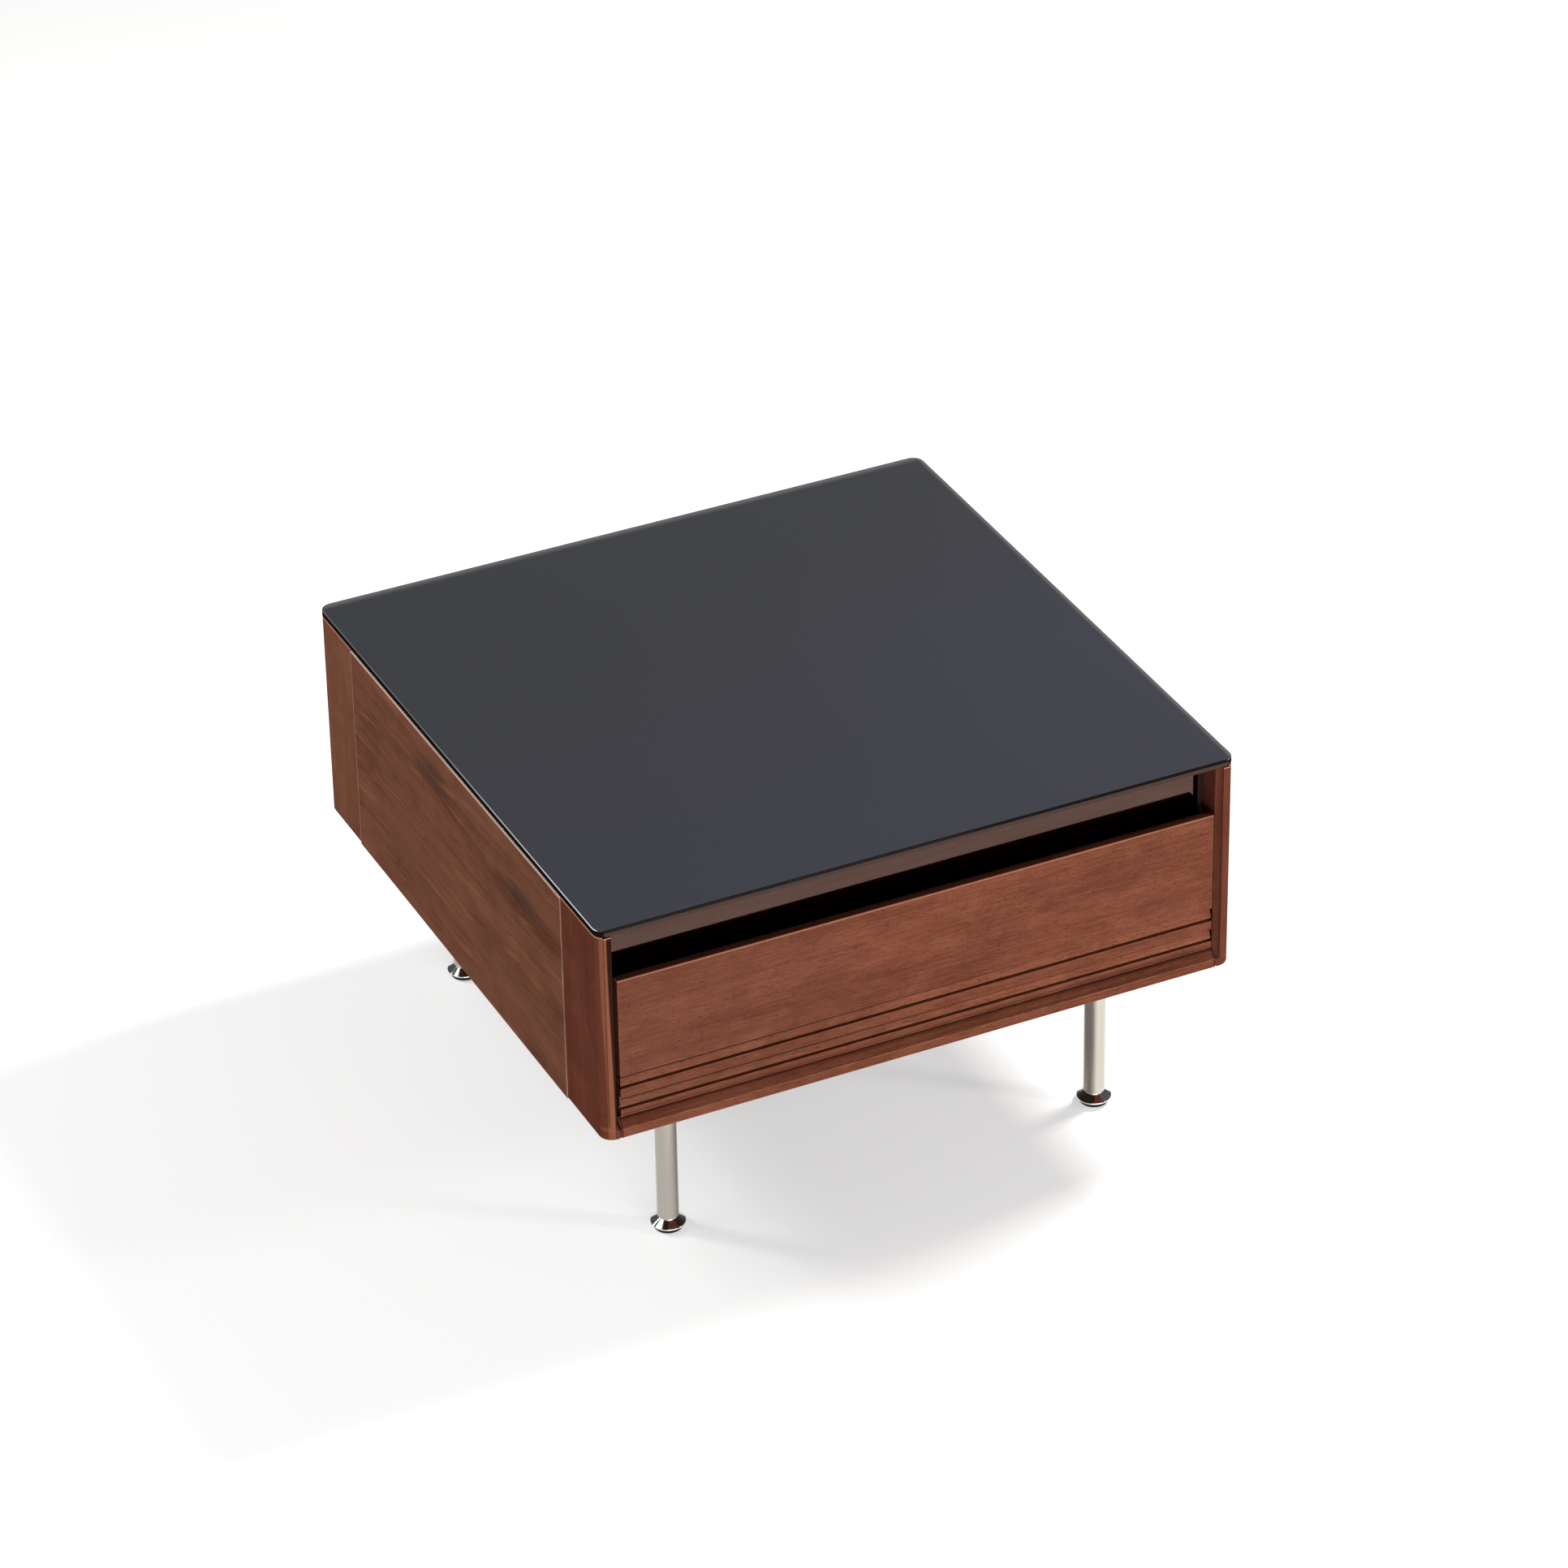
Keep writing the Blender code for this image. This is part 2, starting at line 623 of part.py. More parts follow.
def foot_pad(name, sx, sy):
    """Black glide under the disc, wider at its top."""
    ease = 0.0004
    lip = 0.0006
    profile = [(0, 0), (SOLE_RADIUS - ease, 0), (SOLE_RADIUS, ease)]
    profile += [(SOLE_FLARE, SOLE_THICKNESS - lip), (SOLE_FLARE, SOLE_THICKNESS), (0, SOLE_THICKNESS)]
    place(name, turned(profile, 32), rubber(), (sx * LEG_X, sy * LEG_Y, 0), smooth=True)


# ---- build --------------------------------------------------------------------------------
def main():
    for old in list(bpy.data.objects):
        bpy.data.objects.remove(old)
    glass_top()
    glass_pads()
    for corner, sx, sy in CORNERS:
        post(f"post_{corner}", sx, sy < 0)
    for side, sign in SIDES:
        side_panel(f"side_panel_{side}", sign)
    bottom_front_rail()
    bottom_panel()
    back_panel()
    fascia_strip()
    corner_brackets(*stretchers())
    runners()
    drawer_front()
    drawer_sides()
    drawer_ends()
    drawer_floor()
    front_fixing_screws()
    for corner, sx, sy in CORNERS:
        leg_plate(f"leg_plate_{corner}", sx, sy)
        leg_bolt(f"leg_bolt_{corner}", sx, sy)
        leg_tube(f"leg_tube_{corner}", sx, sy)
        leg_insert(f"leg_insert_{corner}", sx, sy)
        foot(f"foot_{corner}", sx, sy)
        foot_pad(f"foot_pad_{corner}", sx, sy)


main()
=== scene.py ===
"""Side table with one drawer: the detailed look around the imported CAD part.

Row frame: metres, origin on the floor under the middle of the table, +Z up, the drawer faces -Y.
Places come from the CAD nodes' boxes. Each piece rides on the CAD body of the node it stands for.
"""

import json
import math

import bmesh
import bpy
from mathutils import Matrix, Vector

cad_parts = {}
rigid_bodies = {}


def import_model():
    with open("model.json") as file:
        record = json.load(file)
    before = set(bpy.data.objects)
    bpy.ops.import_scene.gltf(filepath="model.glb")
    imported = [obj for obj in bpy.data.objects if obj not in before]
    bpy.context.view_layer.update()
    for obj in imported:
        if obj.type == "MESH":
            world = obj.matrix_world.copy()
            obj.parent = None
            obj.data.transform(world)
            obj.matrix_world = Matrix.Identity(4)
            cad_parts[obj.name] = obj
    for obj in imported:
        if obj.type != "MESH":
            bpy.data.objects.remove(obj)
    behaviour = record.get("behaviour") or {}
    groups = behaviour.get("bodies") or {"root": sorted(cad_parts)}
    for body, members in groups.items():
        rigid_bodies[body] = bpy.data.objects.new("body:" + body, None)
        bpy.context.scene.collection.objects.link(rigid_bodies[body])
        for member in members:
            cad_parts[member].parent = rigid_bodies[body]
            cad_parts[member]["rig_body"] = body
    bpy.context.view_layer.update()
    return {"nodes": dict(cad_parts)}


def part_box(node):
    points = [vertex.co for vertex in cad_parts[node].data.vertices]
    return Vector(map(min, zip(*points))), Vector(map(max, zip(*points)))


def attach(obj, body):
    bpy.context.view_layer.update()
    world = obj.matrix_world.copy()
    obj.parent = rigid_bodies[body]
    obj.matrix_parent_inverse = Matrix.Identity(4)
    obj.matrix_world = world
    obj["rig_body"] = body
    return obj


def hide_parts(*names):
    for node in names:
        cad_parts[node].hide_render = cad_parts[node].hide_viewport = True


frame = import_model()

ARRIS = "arris"     # face attribute, 1 on eased edges, where lacquer wears and where a painted highlight stands for the light that catches them
INWARD = "inward"   # point attribute, cosine of the angle from the way to the table's middle; it places the tubes' painted reflection
X, Y, Z = 0, 1, 2
SIDES = (("left", -1), ("right", 1))
CORNERS = (("front_left", -1, -1), ("front_right", 1, -1), ("rear_left", -1, 1), ("rear_right", 1, 1))
FRONT_STEPS = ((0.0070, 0.0192), (0.0280, 0.0409))   # drawer front: each slot and facet top, up from its foot
FLOOR_HALF, FLOOR_DROP = 20.0, 0.0002

CAMERA_SPOT = (-2.037, -4.328, 3.2465)
CAMERA_TURN = (-25.36, 31.92, -1.02)     # azimuth, elevation and roll in degrees
CAMERA_LENS, CAMERA_SENSOR = 147.1, 36.0   # millimetres
LAMP_TARGET = (0, 0, 0.2)
LAMPS = (   # name, azimuth, elevation, distance, width, height, watts, colour
    ("key_right", 98, 45, 3.2, 0.67, 0.67, 80.0, (1.0, 0.985, 0.96)),
    ("top_left", -103, 48, 3.2, 1.30, 1.30, 21.0, (1, 1, 1)),
    ("rim_left", -129, 30, 3.2, 0.55, 0.55, 25.0, (0.98, 0.99, 1.0)),
    ("fill_right", 48.6, 21, 3.2, 0.40, 0.40, 18.0, (1, 1, 1)),
    ("wash_front", -5, 5, 3.0, 3.0, 0.7, 68.0, (1, 1, 1)),
)
WALL_COLOUR = (0.97, 0.985, 1.0, 1)
LIT_BY_WALL, SEEN_OF_WALL = 0.10, 0.95   # its strength as light, and as the pale backdrop
FLOOR_COLOUR, FLOOR_GLOW = (0.85, 0.848, 0.84), 0.46

STEP_PAINTED_SHADE = (0.020, 0.006, 0.003)       # painted shade: dark browns in the seams and under edges
RAIL_PAINTED_SHADE = (0.020, 0.005, 0.002)


# ---- camera and light ------------------------
def look_from(azimuth, elevation, roll):
    """Axes of a camera or lamp: its right, its up, and the way back from what it faces."""
    az, el, ro = (math.radians(v) for v in (azimuth, elevation, roll))
    back = Vector((math.sin(az) * math.cos(el), -math.cos(az) * math.cos(el), math.sin(el)))
    right = Vector((math.cos(az), math.sin(az), 0))
    up = back.cross(right)
    return math.cos(ro) * right + math.sin(ro) * up, math.cos(ro) * up - math.sin(ro) * right, back


def placed(spot, right, up, back):
    """The matrix of a camera or lamp at a spot."""
    return Matrix.Translation(spot) @ Matrix((right, up, back)).transposed().to_4x4()


def add_camera():
    data = bpy.data.cameras.new("camera")
    data.sensor_width = CAMERA_SENSOR
    data.lens = CAMERA_LENS
    data.clip_start, data.clip_end = 0.1, 60.0
    camera = bpy.data.objects.new("camera", data)
    camera.matrix_world = placed(CAMERA_SPOT, *look_from(*CAMERA_TURN))
    bpy.context.scene.collection.objects.link(camera)
    bpy.context.scene.camera = camera


def softbox(name, azimuth, elevation, distance, width, height, watts, colour):
    """A rectangular lamp aimed at the table."""
    data = bpy.data.lights.new(name, "AREA")
    data.shape = "RECTANGLE"
    data.size, data.size_y = width, height
    data.energy = watts
    data.color = colour
    lamp = bpy.data.objects.new(name, data)
    right, up, back = look_from(azimuth, elevation, 0)
    lamp.matrix_world = placed(Vector(LAMP_TARGET) + distance * back, right, up, back)
    bpy.context.scene.collection.objects.link(lamp)


def add_studio():
    world = bpy.data.worlds.new("studio")
    world.use_nodes = True
    tree = world.node_tree
    background = tree.nodes["Background"]
    background.inputs["Color"].default_value = WALL_COLOUR
    seen = tree.nodes.new("ShaderNodeMapRange")
    seen.inputs["To Min"].default_value = LIT_BY_WALL
    seen.inputs["To Max"].default_value = SEEN_OF_WALL
    tree.links.new(tree.nodes.new("ShaderNodeLightPath").outputs["Is Camera Ray"], seen.inputs["Value"])
    tree.links.new(seen.outputs[0], background.inputs["Strength"])
    bpy.context.scene.world = world
    bpy.context.scene.view_settings.view_transform = "Standard"
    for lamp in LAMPS:
        softbox(*lamp)


# ---- materials -------------------------------
def tone(red, green, blue):
    """A display colour, 0 to 255, as the linear one that shaders take."""
    display = (value / 255 for value in (red, green, blue))
    return tuple(c / 12.92 if c <= 0.04045 else ((c + 0.055) / 1.055) ** 2.4 for c in display)


class Look:
    """A Principled material, with short ways to wire procedural detail into it."""

    def __init__(self, name, colour, roughness, **sockets):
        self.made = bpy.data.materials.new(name)
        self.made.use_nodes = True
        self.tree = self.made.node_tree
        self.shader = self.tree.nodes["Principled BSDF"]
        self.shader.inputs["Base Color"].default_value = (*colour, 1)
        self.shader.inputs["Roughness"].default_value = roughness
        for key, value in sockets.items():
            self.shader.inputs[key.replace("_", " ")].default_value = value
        self.made.diffuse_color = (*colour, 1)
        self.spot = self.node("TexCoord").outputs["Object"]

    def node(self, kind, inputs=None, **settings):
        """Add a node; inputs are sockets to link or values to set."""
        made = self.tree.nodes.new("ShaderNode" + kind)
        for key, value in settings.items():
            setattr(made, key, value)
        for key, value in (inputs or {}).items():
            if isinstance(value, bpy.types.NodeSocket):
                self.tree.links.new(value, made.inputs[key])
            else:
                made.inputs[key].default_value = value
        return made

    def math(self, operation, *values, clamp=False):
        return self.node("Math", dict(enumerate(values)), operation=operation, use_clamp=clamp).outputs[0]

    def times(self, *values):
        """The product of sockets and numbers."""
        product = values[0]
        for value in values[1:]:
            product = self.math("MULTIPLY", product, value)
        return product

    def axes(self, at=None):
        split = self.node("SeparateXYZ", {0: at or self.spot})
        return [split.outputs[i] for i in range(3)]

    def noise(self, size, detail=3.0, rough=0.5, warp=0.0, shift=(0, 0, 0), at=None):
        """Soft noise whose features are about that long along each axis, in metres."""
        scale = [1 / s for s in size]
        scaled = self.node("Mapping", {"Vector": at or self.spot, "Location": shift, "Scale": scale})
        inputs = {"Vector": scaled.outputs[0], "Scale": 1.0}
        inputs.update({"Detail": detail, "Roughness": rough, "Distortion": warp})
        return self.node("TexNoise", inputs).outputs[0]

    def spread(self, value, low, high, start=0.0, end=1.0):
        """Smoothly from start at low to end at high."""
        inputs = {"Value": value, "From Min": low, "From Max": high, "To Min": start, "To Max": end}
        return self.node("MapRange", inputs, interpolation_type="SMOOTHSTEP").outputs[0]

    def ramp(self, value, stops):
        made = self.node("ValToRGB", {0: value})
        row = made.color_ramp.elements
        while len(row) < len(stops):
            row.new(0.5)
        for element, (place, colour) in zip(row, stops):
            element.position = place
            element.color = (*colour, 1)
        return made.outputs[0]

    def mix(self, factor, first, second, blend="MIX"):
        made = self.node("Mix", {0: factor}, data_type="RGBA", blend_type=blend)
        for socket, value in ((made.inputs[6], first), (made.inputs[7], second)):
            if isinstance(value, bpy.types.NodeSocket):
                self.tree.links.new(value, socket)
            else:
                socket.default_value = (*value, 1)
        return made.outputs[2]

    def arris(self):
        return self.node("Attribute", attribute_name=ARRIS).outputs["Fac"]

    def drive(self, **sockets):
        for key, value in sockets.items():
            self.tree.links.new(value, self.shader.inputs[key.replace("_", " ")])

    def bump(self, height, distance):
        made = self.node("Bump", {"Height": height, "Distance": distance})
        self.drive(Normal=made.outputs[0])


def stretched(grain, along, across):
    """Feature sizes for noise that is long along the grain."""
    return [along if axis == grain else across for axis in range(3)]


def wood(name, grain, tones, roughness=0.45, swirls=(), wear_and_highlight=(150, 96, 74), wear_and_highlight_range=(0.15, 0.75),
         streak=0.012, bands=0.5, lines=0.4, fibre=0.3, cloud=0.3, pores=0.5, shine=0.03, seed=0.0,
         extra=None, rings=False):
    """Lacquered wood. grain is the axis it runs along; tones go from its darkest streaks to its lightest.

    bands, lines, fibre and cloud say how strongly each layer shows: broad streaks about streak wide, narrow
    ones, single fibres, and patches where the lacquer and the light vary. pores are short dark dashes. worn
    and wear are the colour and the range of the rubbed edges, a colour that is partly wear and partly a
    painted highlight. rings adds growth lines and dark knots.
    """
    look = Look(name, tones[1], roughness, Specular_IOR_Level=shine)
    shift = (seed, seed * 1.7, seed * 0.6)
    at, knots = swirled(look, swirls) if swirls else (look.spot, None)
    layers = (
        (bands, look.noise(stretched(grain, 0.30, streak), 3.0, 0.5, 0.5, shift, at)),
        (lines, look.noise(stretched(grain, 0.14, streak / 7), 3.0, 0.6, 0.2, shift, at)),
        (fibre, look.noise(stretched(grain, 0.016, 0.0006), 2.0, 0.6, 0.0, shift, at)),
        (cloud, look.noise(stretched(grain, 0.045, 0.028), 3.0, 0.55, 0.8, shift)),
    )
    figure = 0.5
    for share, layer in layers:
        figure = look.math("MULTIPLY_ADD", look.math("SUBTRACT", layer, 0.5), share, figure)
    if knots:
        figure = look.math("MULTIPLY_ADD", knots, -0.05, figure)
    darkest, span = 0.36, 0.28
    stops = [(darkest + span * k / (len(tones) - 1), colour) for k, colour in enumerate(tones)]
    colour = look.ramp(figure, stops)
    dashes = look.noise(stretched(grain, 0.0050, 0.00075), 1.0, 0.5, 0.0, shift, at)
    pore = look.spread(dashes, 0.57, 0.70)
    colour = look.mix(look.times(pore, pores), colour, shaded(tones[0], 0.30))
    if rings:
        colour = growth_lines(look, colour, at, shift)
        flame = look.noise(stretched(grain, 0.050, 0.010), 3.0, 0.6, 1.2, shift, at)
        heart = look.spread(look.times(knots, flame), 0.22, 0.50, 0.0, 0.62)
        colour = look.mix(heart, colour, (0.062, 0.036, 0.029))
    if extra:
        colour = extra(look, colour)
    # rubbed edges: their colour is partly wear and partly a painted highlight where light would catch
    rub = look.noise((0.02, 0.02, 0.02), 4.0, 0.6, 0.0, shift)
    edge = look.times(look.arris(), look.spread(rub, 0.30, 0.70, *wear_and_highlight_range))
    look.drive(Base_Color=look.mix(edge, colour, tone(*wear_and_highlight)))
    fine = layers[2][1]
    dull = look.math("MULTIPLY_ADD", fine, 0.14, roughness - 0.07)
    look.drive(Roughness=look.math("MULTIPLY_ADD", pore, 0.12, dull))
    look.bump(look.math("SUBTRACT", look.times(fine, 0.5), pore), 0.00005)
    return look.made


def shaded_steps(look, colour):
    """Drawer front: painted shade below each step, fading to the right, and along the lower edge; facets
    paler as painted light; painted shade on the left part and a painted highlight on the top lip.
    """
    low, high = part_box("drawer_front")
    x, _, z = look.axes()
    dark, pale = 0.0, 0.0
    for bottom, top in FRONT_STEPS:
        facet, step = low.z + bottom, low.z + top
        # painted shade just below each step's overhang
        above = look.spread(z, step - 0.0045, step - 0.0033)
        below = look.spread(z, step - 0.0029, step - 0.0017, 1.0, 0.0)
        dark = look.math("MULTIPLY_ADD", above, below, dark)
        # painted light: the facets paler, more so to the right
        above = look.spread(z, facet + 0.0018, facet + 0.0026)
        pale = look.math("MULTIPLY_ADD", above, below, pale)
    pale = look.times(pale, look.spread(x, 0.05, high.x - 0.05, 0.6, 1.0))
    colour = look.mix(pale, colour, (1.34, 1.42, 1.42), "MULTIPLY")
    # the painted shade under the steps fades towards the right
    dark = look.times(dark, look.spread(x, -0.15, 0.22, 0.75, 0.25))
    colour = look.mix(dark, colour, STEP_PAINTED_SHADE)
    # painted shade along the lower edge
    foot_shade = look.spread(z, low.z + 0.0002, low.z + 0.0050, 0.55, 0.0)
    colour = look.mix(foot_shade, colour, (0.030, 0.006, 0.002))
    # painted shade: the left part of the front darker
    dull = look.spread(x, low.x, 0.05, 0.22, 0.0)
    colour = look.mix(dull, colour, (0.085, 0.036, 0.026))
    # painted highlight along the top lip
    lip = look.times(look.spread(z, high.z - 0.0016, high.z - 0.0008), look.arris())
    return look.mix(lip, colour, tone(166, 112, 93))


def shaded_bevel(look, colour):
    """Rail: its bevel painted a little darker than its face as shade, much more so just under the drawer, and
    painted shade at its ends.
    """
    _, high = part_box("bottom_front_rail")
    x, _, z = look.axes()
    # painted shade on the bevel and just under the drawer
    bevel = look.spread(z, high.z - 0.0088, high.z - 0.0076, 0.0, 0.04)
    under = look.spread(z, high.z - 0.0032, high.z - 0.0008, 0.0, 0.75)
    colour = look.mix(look.math("ADD", bevel, under), colour, RAIL_PAINTED_SHADE)
    # painted shade at the ends, next to the posts
    ends = look.spread(look.math("ABSOLUTE", x), high.x - 0.0024, high.x - 0.0012, 0.0, 0.9)
    return look.mix(ends, colour, (0.012, 0.004, 0.002))


def varied_posts(look, colour):
    """Posts: rear ones paler as painted light, the front left one's bevel darkened as painted shade and the
    strip beside it lightened as a painted highlight, top edges lighter.
    """
    low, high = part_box("post_front_left")
    x, y, z = look.axes()
    # painted light: the rear posts paler
    colour = look.mix(look.spread(y, -0.1, 0.1), colour, (1.40, 1.85, 1.80), "MULTIPLY")
    # painted shade on the front left post's bevel
    bevel_start = look.spread(z, low.z + 0.02, high.z - 0.01, 0.0038, 0.0010)
    across = look.math("SUBTRACT", x, bevel_start)
    bevel = look.spread(across, high.x - 0.0092, high.x - 0.0078)
    shade_left_only = look.spread(x, high.x + 0.010, high.x + 0.005)
    shade_above_foot = look.spread(z, low.z + 0.008, low.z + 0.016, 0.0, 0.85)
    shade_front_only = look.spread(y, 0.1, -0.1)
    colour = look.mix(look.times(bevel, shade_left_only, shade_above_foot, shade_front_only), colour, (0.010, 0.004, 0.003))
    # painted highlight on the strip of the front face beside the bevel
    highlight_from_outside = look.spread(across, high.x - 0.0150, high.x - 0.0130)
    highlight_to_bevel = look.spread(across, high.x - 0.0084, high.x - 0.0094)
    highlight_face_only = look.spread(y, low.y + 0.006, low.y + 0.003, 0.0, 0.42)
    colour = look.mix(look.times(highlight_from_outside, highlight_to_bevel, highlight_face_only), colour, (0.300, 0.115, 0.060))
    # the top edges lighter
    top = look.times(look.spread(z, high.z - 0.0008, high.z - 0.0004), look.arris(), 0.8)
    return look.mix(top, colour, tone(222, 160, 130))


def growth_lines(look, colour, at, shift):
    """Thin dark lines and reddish light ones that run with the grain and close round the knots."""
    wobble = look.noise((0.30, 0.22, 0.030), 2.0, 0.5, 0.0, shift, at)
    _, y, z = look.axes(at)
    slant = look.math("MULTIPLY_ADD", y, 0.05, z)
    turn = look.math("MULTIPLY_ADD", wobble, 24.0, look.times(slant, 520.0))
    line = look.spread(look.math("SINE", turn), 0.80, 1.0)
    broken = look.spread(look.noise((0.05, 0.16, 0.02), 2.0, 0.5, 0.0, shift), 0.40, 0.62)
    colour = look.mix(look.times(line, broken, 0.32), colour, (0.080, 0.022, 0.011))
    bright = look.spread(look.math("SINE", look.math("MULTIPLY_ADD", turn, 0.46, 1.1)), 0.86, 1.0)
    moved = tuple(v + 3 for v in shift)
    broken = look.spread(look.noise((0.07, 0.10, 0.03), 2.0, 0.5, 0.0, moved), 0.48, 0.62)
    return look.mix(look.times(bright, broken, 0.45), colour, (0.270, 0.092, 0.046))


def pale_top_edge(look, colour):
    """Lightens the side panel's outer top and rear edges."""
    low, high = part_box("side_panel_left")
    x, y, z = look.axes()
    top = look.spread(z, high.z - 0.0013, high.z - 0.0006)
    out = look.spread(look.math("ABSOLUTE", x), -low.x - 0.0022, -low.x - 0.0012)
    colour = look.mix(look.times(top, out), colour, tone(236, 206, 188))
    rear = look.spread(y, high.y - 0.0018, high.y - 0.0010)
    return look.mix(look.times(rear, out, 0.75), colour, tone(188, 140, 118))


def swirled(look, swirls):
    """Bends the grain round knots. A swirl is (middle y, middle z, length, height, push)."""
    x, y, z = look.axes()
    moved, knots = z, 0.0
    for middle_y, middle_z, length, height, push in swirls:
        across = look.math("DIVIDE", look.math("SUBTRACT", z, middle_z), height)
        along = look.math("DIVIDE", look.math("SUBTRACT", y, middle_y), length)
        far = look.math("MULTIPLY_ADD", across, across, look.times(along, along))
        near = look.math("EXPONENT", look.times(far, -1.0))
        moved = look.math("MULTIPLY_ADD", near, look.times(across, push), moved)
        knots = look.math("ADD", knots, near)
    return look.node("CombineXYZ", {0: x, 1: y, 2: moved}).outputs[0], knots


def dark_glass():
    """Opaque dark pane with dark sides, and painted reflection and light: cooler towards the front, soft pale
    bands by the rear and right edges, the floor on the front edge, a dark line along the front of the top and
    a highlight on the left top edge.
    """
    low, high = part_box("glass_top")
    look = Look("dark_glass_fine", tone(62, 62, 68), 0.06, IOR=1.36)
    x, y, z = look.axes()
    # painted reflection: a cooler tint towards the front of the top
    haze = look.noise((0.30, 0.30, 0.30), 2.0, 0.5)
    slope = look.math("SUBTRACT", look.times(x, 0.4), y)
    painted_cool_reflection = look.spread(look.math("MULTIPLY_ADD", haze, 0.3, slope), -0.10, 0.50)
    colour = look.mix(painted_cool_reflection, tone(64, 65, 69), tone(67, 67, 77))
    # painted light: pale bands along the rear and right edges
    rear = look.spread(y, high.y - 0.011, high.y - 0.001, 0.0, 0.45)
    right = look.spread(x, high.x - 0.006, high.x - 0.001, 0.0, 0.45)
    colour = look.mix(look.math("MAXIMUM", rear, right), colour, tone(140, 140, 140))
    top = look.spread(z, high.z - 0.0006, high.z - 0.0004)
    # dark sides, with a painted reflection of the floor on the front edge
    front = look.spread(y, low.y + 0.0012, low.y + 0.0006)
    below = look.spread(z, high.z - 0.0015, high.z - 0.0022)
    sides = look.mix(look.times(front, below), tone(20, 16, 15), tone(66, 52, 48))
    # painted reflection: a dark line along the front of the top
    near = look.spread(y, low.y + 0.0022, low.y + 0.0014)
    colour = look.mix(near, colour, tone(24, 18, 18))
    colour = look.mix(top, sides, colour)
    # painted highlight along the left top edge, fading towards the rear
    rim = look.times(look.spread(z, high.z - 0.0006, high.z - 0.0005), look.arris())
    left = look.spread(x, low.x + 0.0030, low.x + 0.0010)
    highlight_fading = look.spread(y, low.y + 0.04, 0.10, 1.0, 0.16)
    look.drive(Base_Color=look.mix(look.times(rim, left, highlight_fading), colour, tone(232, 238, 246)))
    look.drive(Specular_IOR_Level=look.times(top, 0.5))
    smear = look.noise((0.05, 0.012, 0.05), 5.0, 0.65, 0.8)
    look.drive(Roughness=look.spread(smear, 0.35, 0.75, 0.045, 0.085))
    return look.made


def bronze_mirror():
    look = Look("bronze_mirror_fine", (0.083, 0.048, 0.039), 0.05, Metallic=1.0)
    smear = look.noise((0.06, 0.06, 0.008), 4.0, 0.6, 0.5)
    look.drive(Roughness=look.spread(smear, 0.35, 0.75, 0.035, 0.09))
    dark, light = (0.078, 0.045, 0.036), (0.089, 0.052, 0.043)
    look.drive(Base_Color=look.mix(look.spread(smear, 0.3, 0.7), dark, light))
    return look.made


def shaded(colour, share):
    """A colour, darker or lighter by a share."""
    return tuple(share * v for v in colour)


def metal(name, colour, roughness, brush, depth, spread=0.10):
    """Metal with fine marks; brush is the size of one along each axis."""
    look = Look(name, colour, roughness, Metallic=1.0)
    marks = look.noise(brush, 4.0, 0.65)
    patch = look.noise((0.012, 0.012, 0.012), 3.0, 0.5)
    shade = look.math("MULTIPLY_ADD", marks, 0.5, look.times(patch, 0.5))
    look.drive(Base_Color=look.mix(look.spread(shade, 0.35, 0.65), shaded(colour, 0.86), colour))
    look.drive(Roughness=look.spread(shade, 0.3, 0.7, roughness - spread / 2, roughness + spread / 2))
    look.bump(marks, depth)
    return look.made


def brushed_tube(side, colour):
    """Satin steel with a painted reflection: darker towards the middle of the table, where the tube mirrors
    the dark box.
    """
    look = Look(f"brushed_steel_{side}", colour, 0.24, Metallic=1.0)
    marks = look.noise((0.003, 0.003, 0.00025), 3.0, 0.6)
    inward = look.node("Attribute", attribute_name=INWARD).outputs["Fac"]
    shade = look.mix(look.spread(marks, 0.3, 0.7), shaded(colour, 0.95), shaded(colour, 1.04))
    # painted reflection: the inward side darker
    dull = look.spread(inward, 0.15, 0.75, 0.0, 0.75)
    look.drive(Base_Color=look.mix(dull, shade, (0.10, 0.075, 0.062)))
    look.drive(Roughness=look.spread(marks, 0.3, 0.7, 0.21, 0.27))
    look.bump(marks, 0.000002)
    return look.made


def plain(name, colour, roughness, grain, depth, **sockets):
    """Rubber, nylon, laminate: slight mottling and a fine surface grain."""
    look = Look(name, colour, roughness, **sockets)
    fine = look.noise((grain,) * 3, 3.0, 0.6)
    patch = look.noise((0.03, 0.03, 0.03), 3.0, 0.5)
    look.drive(Base_Color=look.mix(look.spread(patch, 0.3, 0.7), shaded(colour, 0.8), shaded(colour, 1.15)))
    look.drive(Roughness=look.spread(fine, 0.3, 0.7, roughness - 0.06, roughness + 0.06))
    look.bump(fine, depth)
    return look.made


# ---- shapes ----------------------------------
def new_shape():
    shape = bmesh.new()
    shape.faces.layers.float.new(ARRIS)
    return shape


def fillet(points, radii, steps=4):
    """Round the corners of a closed outline. radii is one radius, or one for each corner."""
    if not isinstance(radii, (list, tuple)):
        radii = [radii] * len(points)
    made = []
    for k, radius in enumerate(radii):
        here = Vector(points[k])
        before = (Vector(points[k - 1]) - here).normalized()
        after = (Vector(points[(k + 1) % len(points)]) - here).normalized()
        if radius <= 0:
            made.append(tuple(here))
            continue
        half = before.angle(after) / 2
        reach = radius / math.tan(half)
        middle = here + (before + after).normalized() * (radius / math.sin(half))
        start, end = here + before * reach - middle, here + after * reach - middle
        turn = start.angle_signed(end)
        for n in range(steps + 1):
            made.append(tuple(middle + Matrix.Rotation(-turn * n / steps, 2) @ start))
    return made


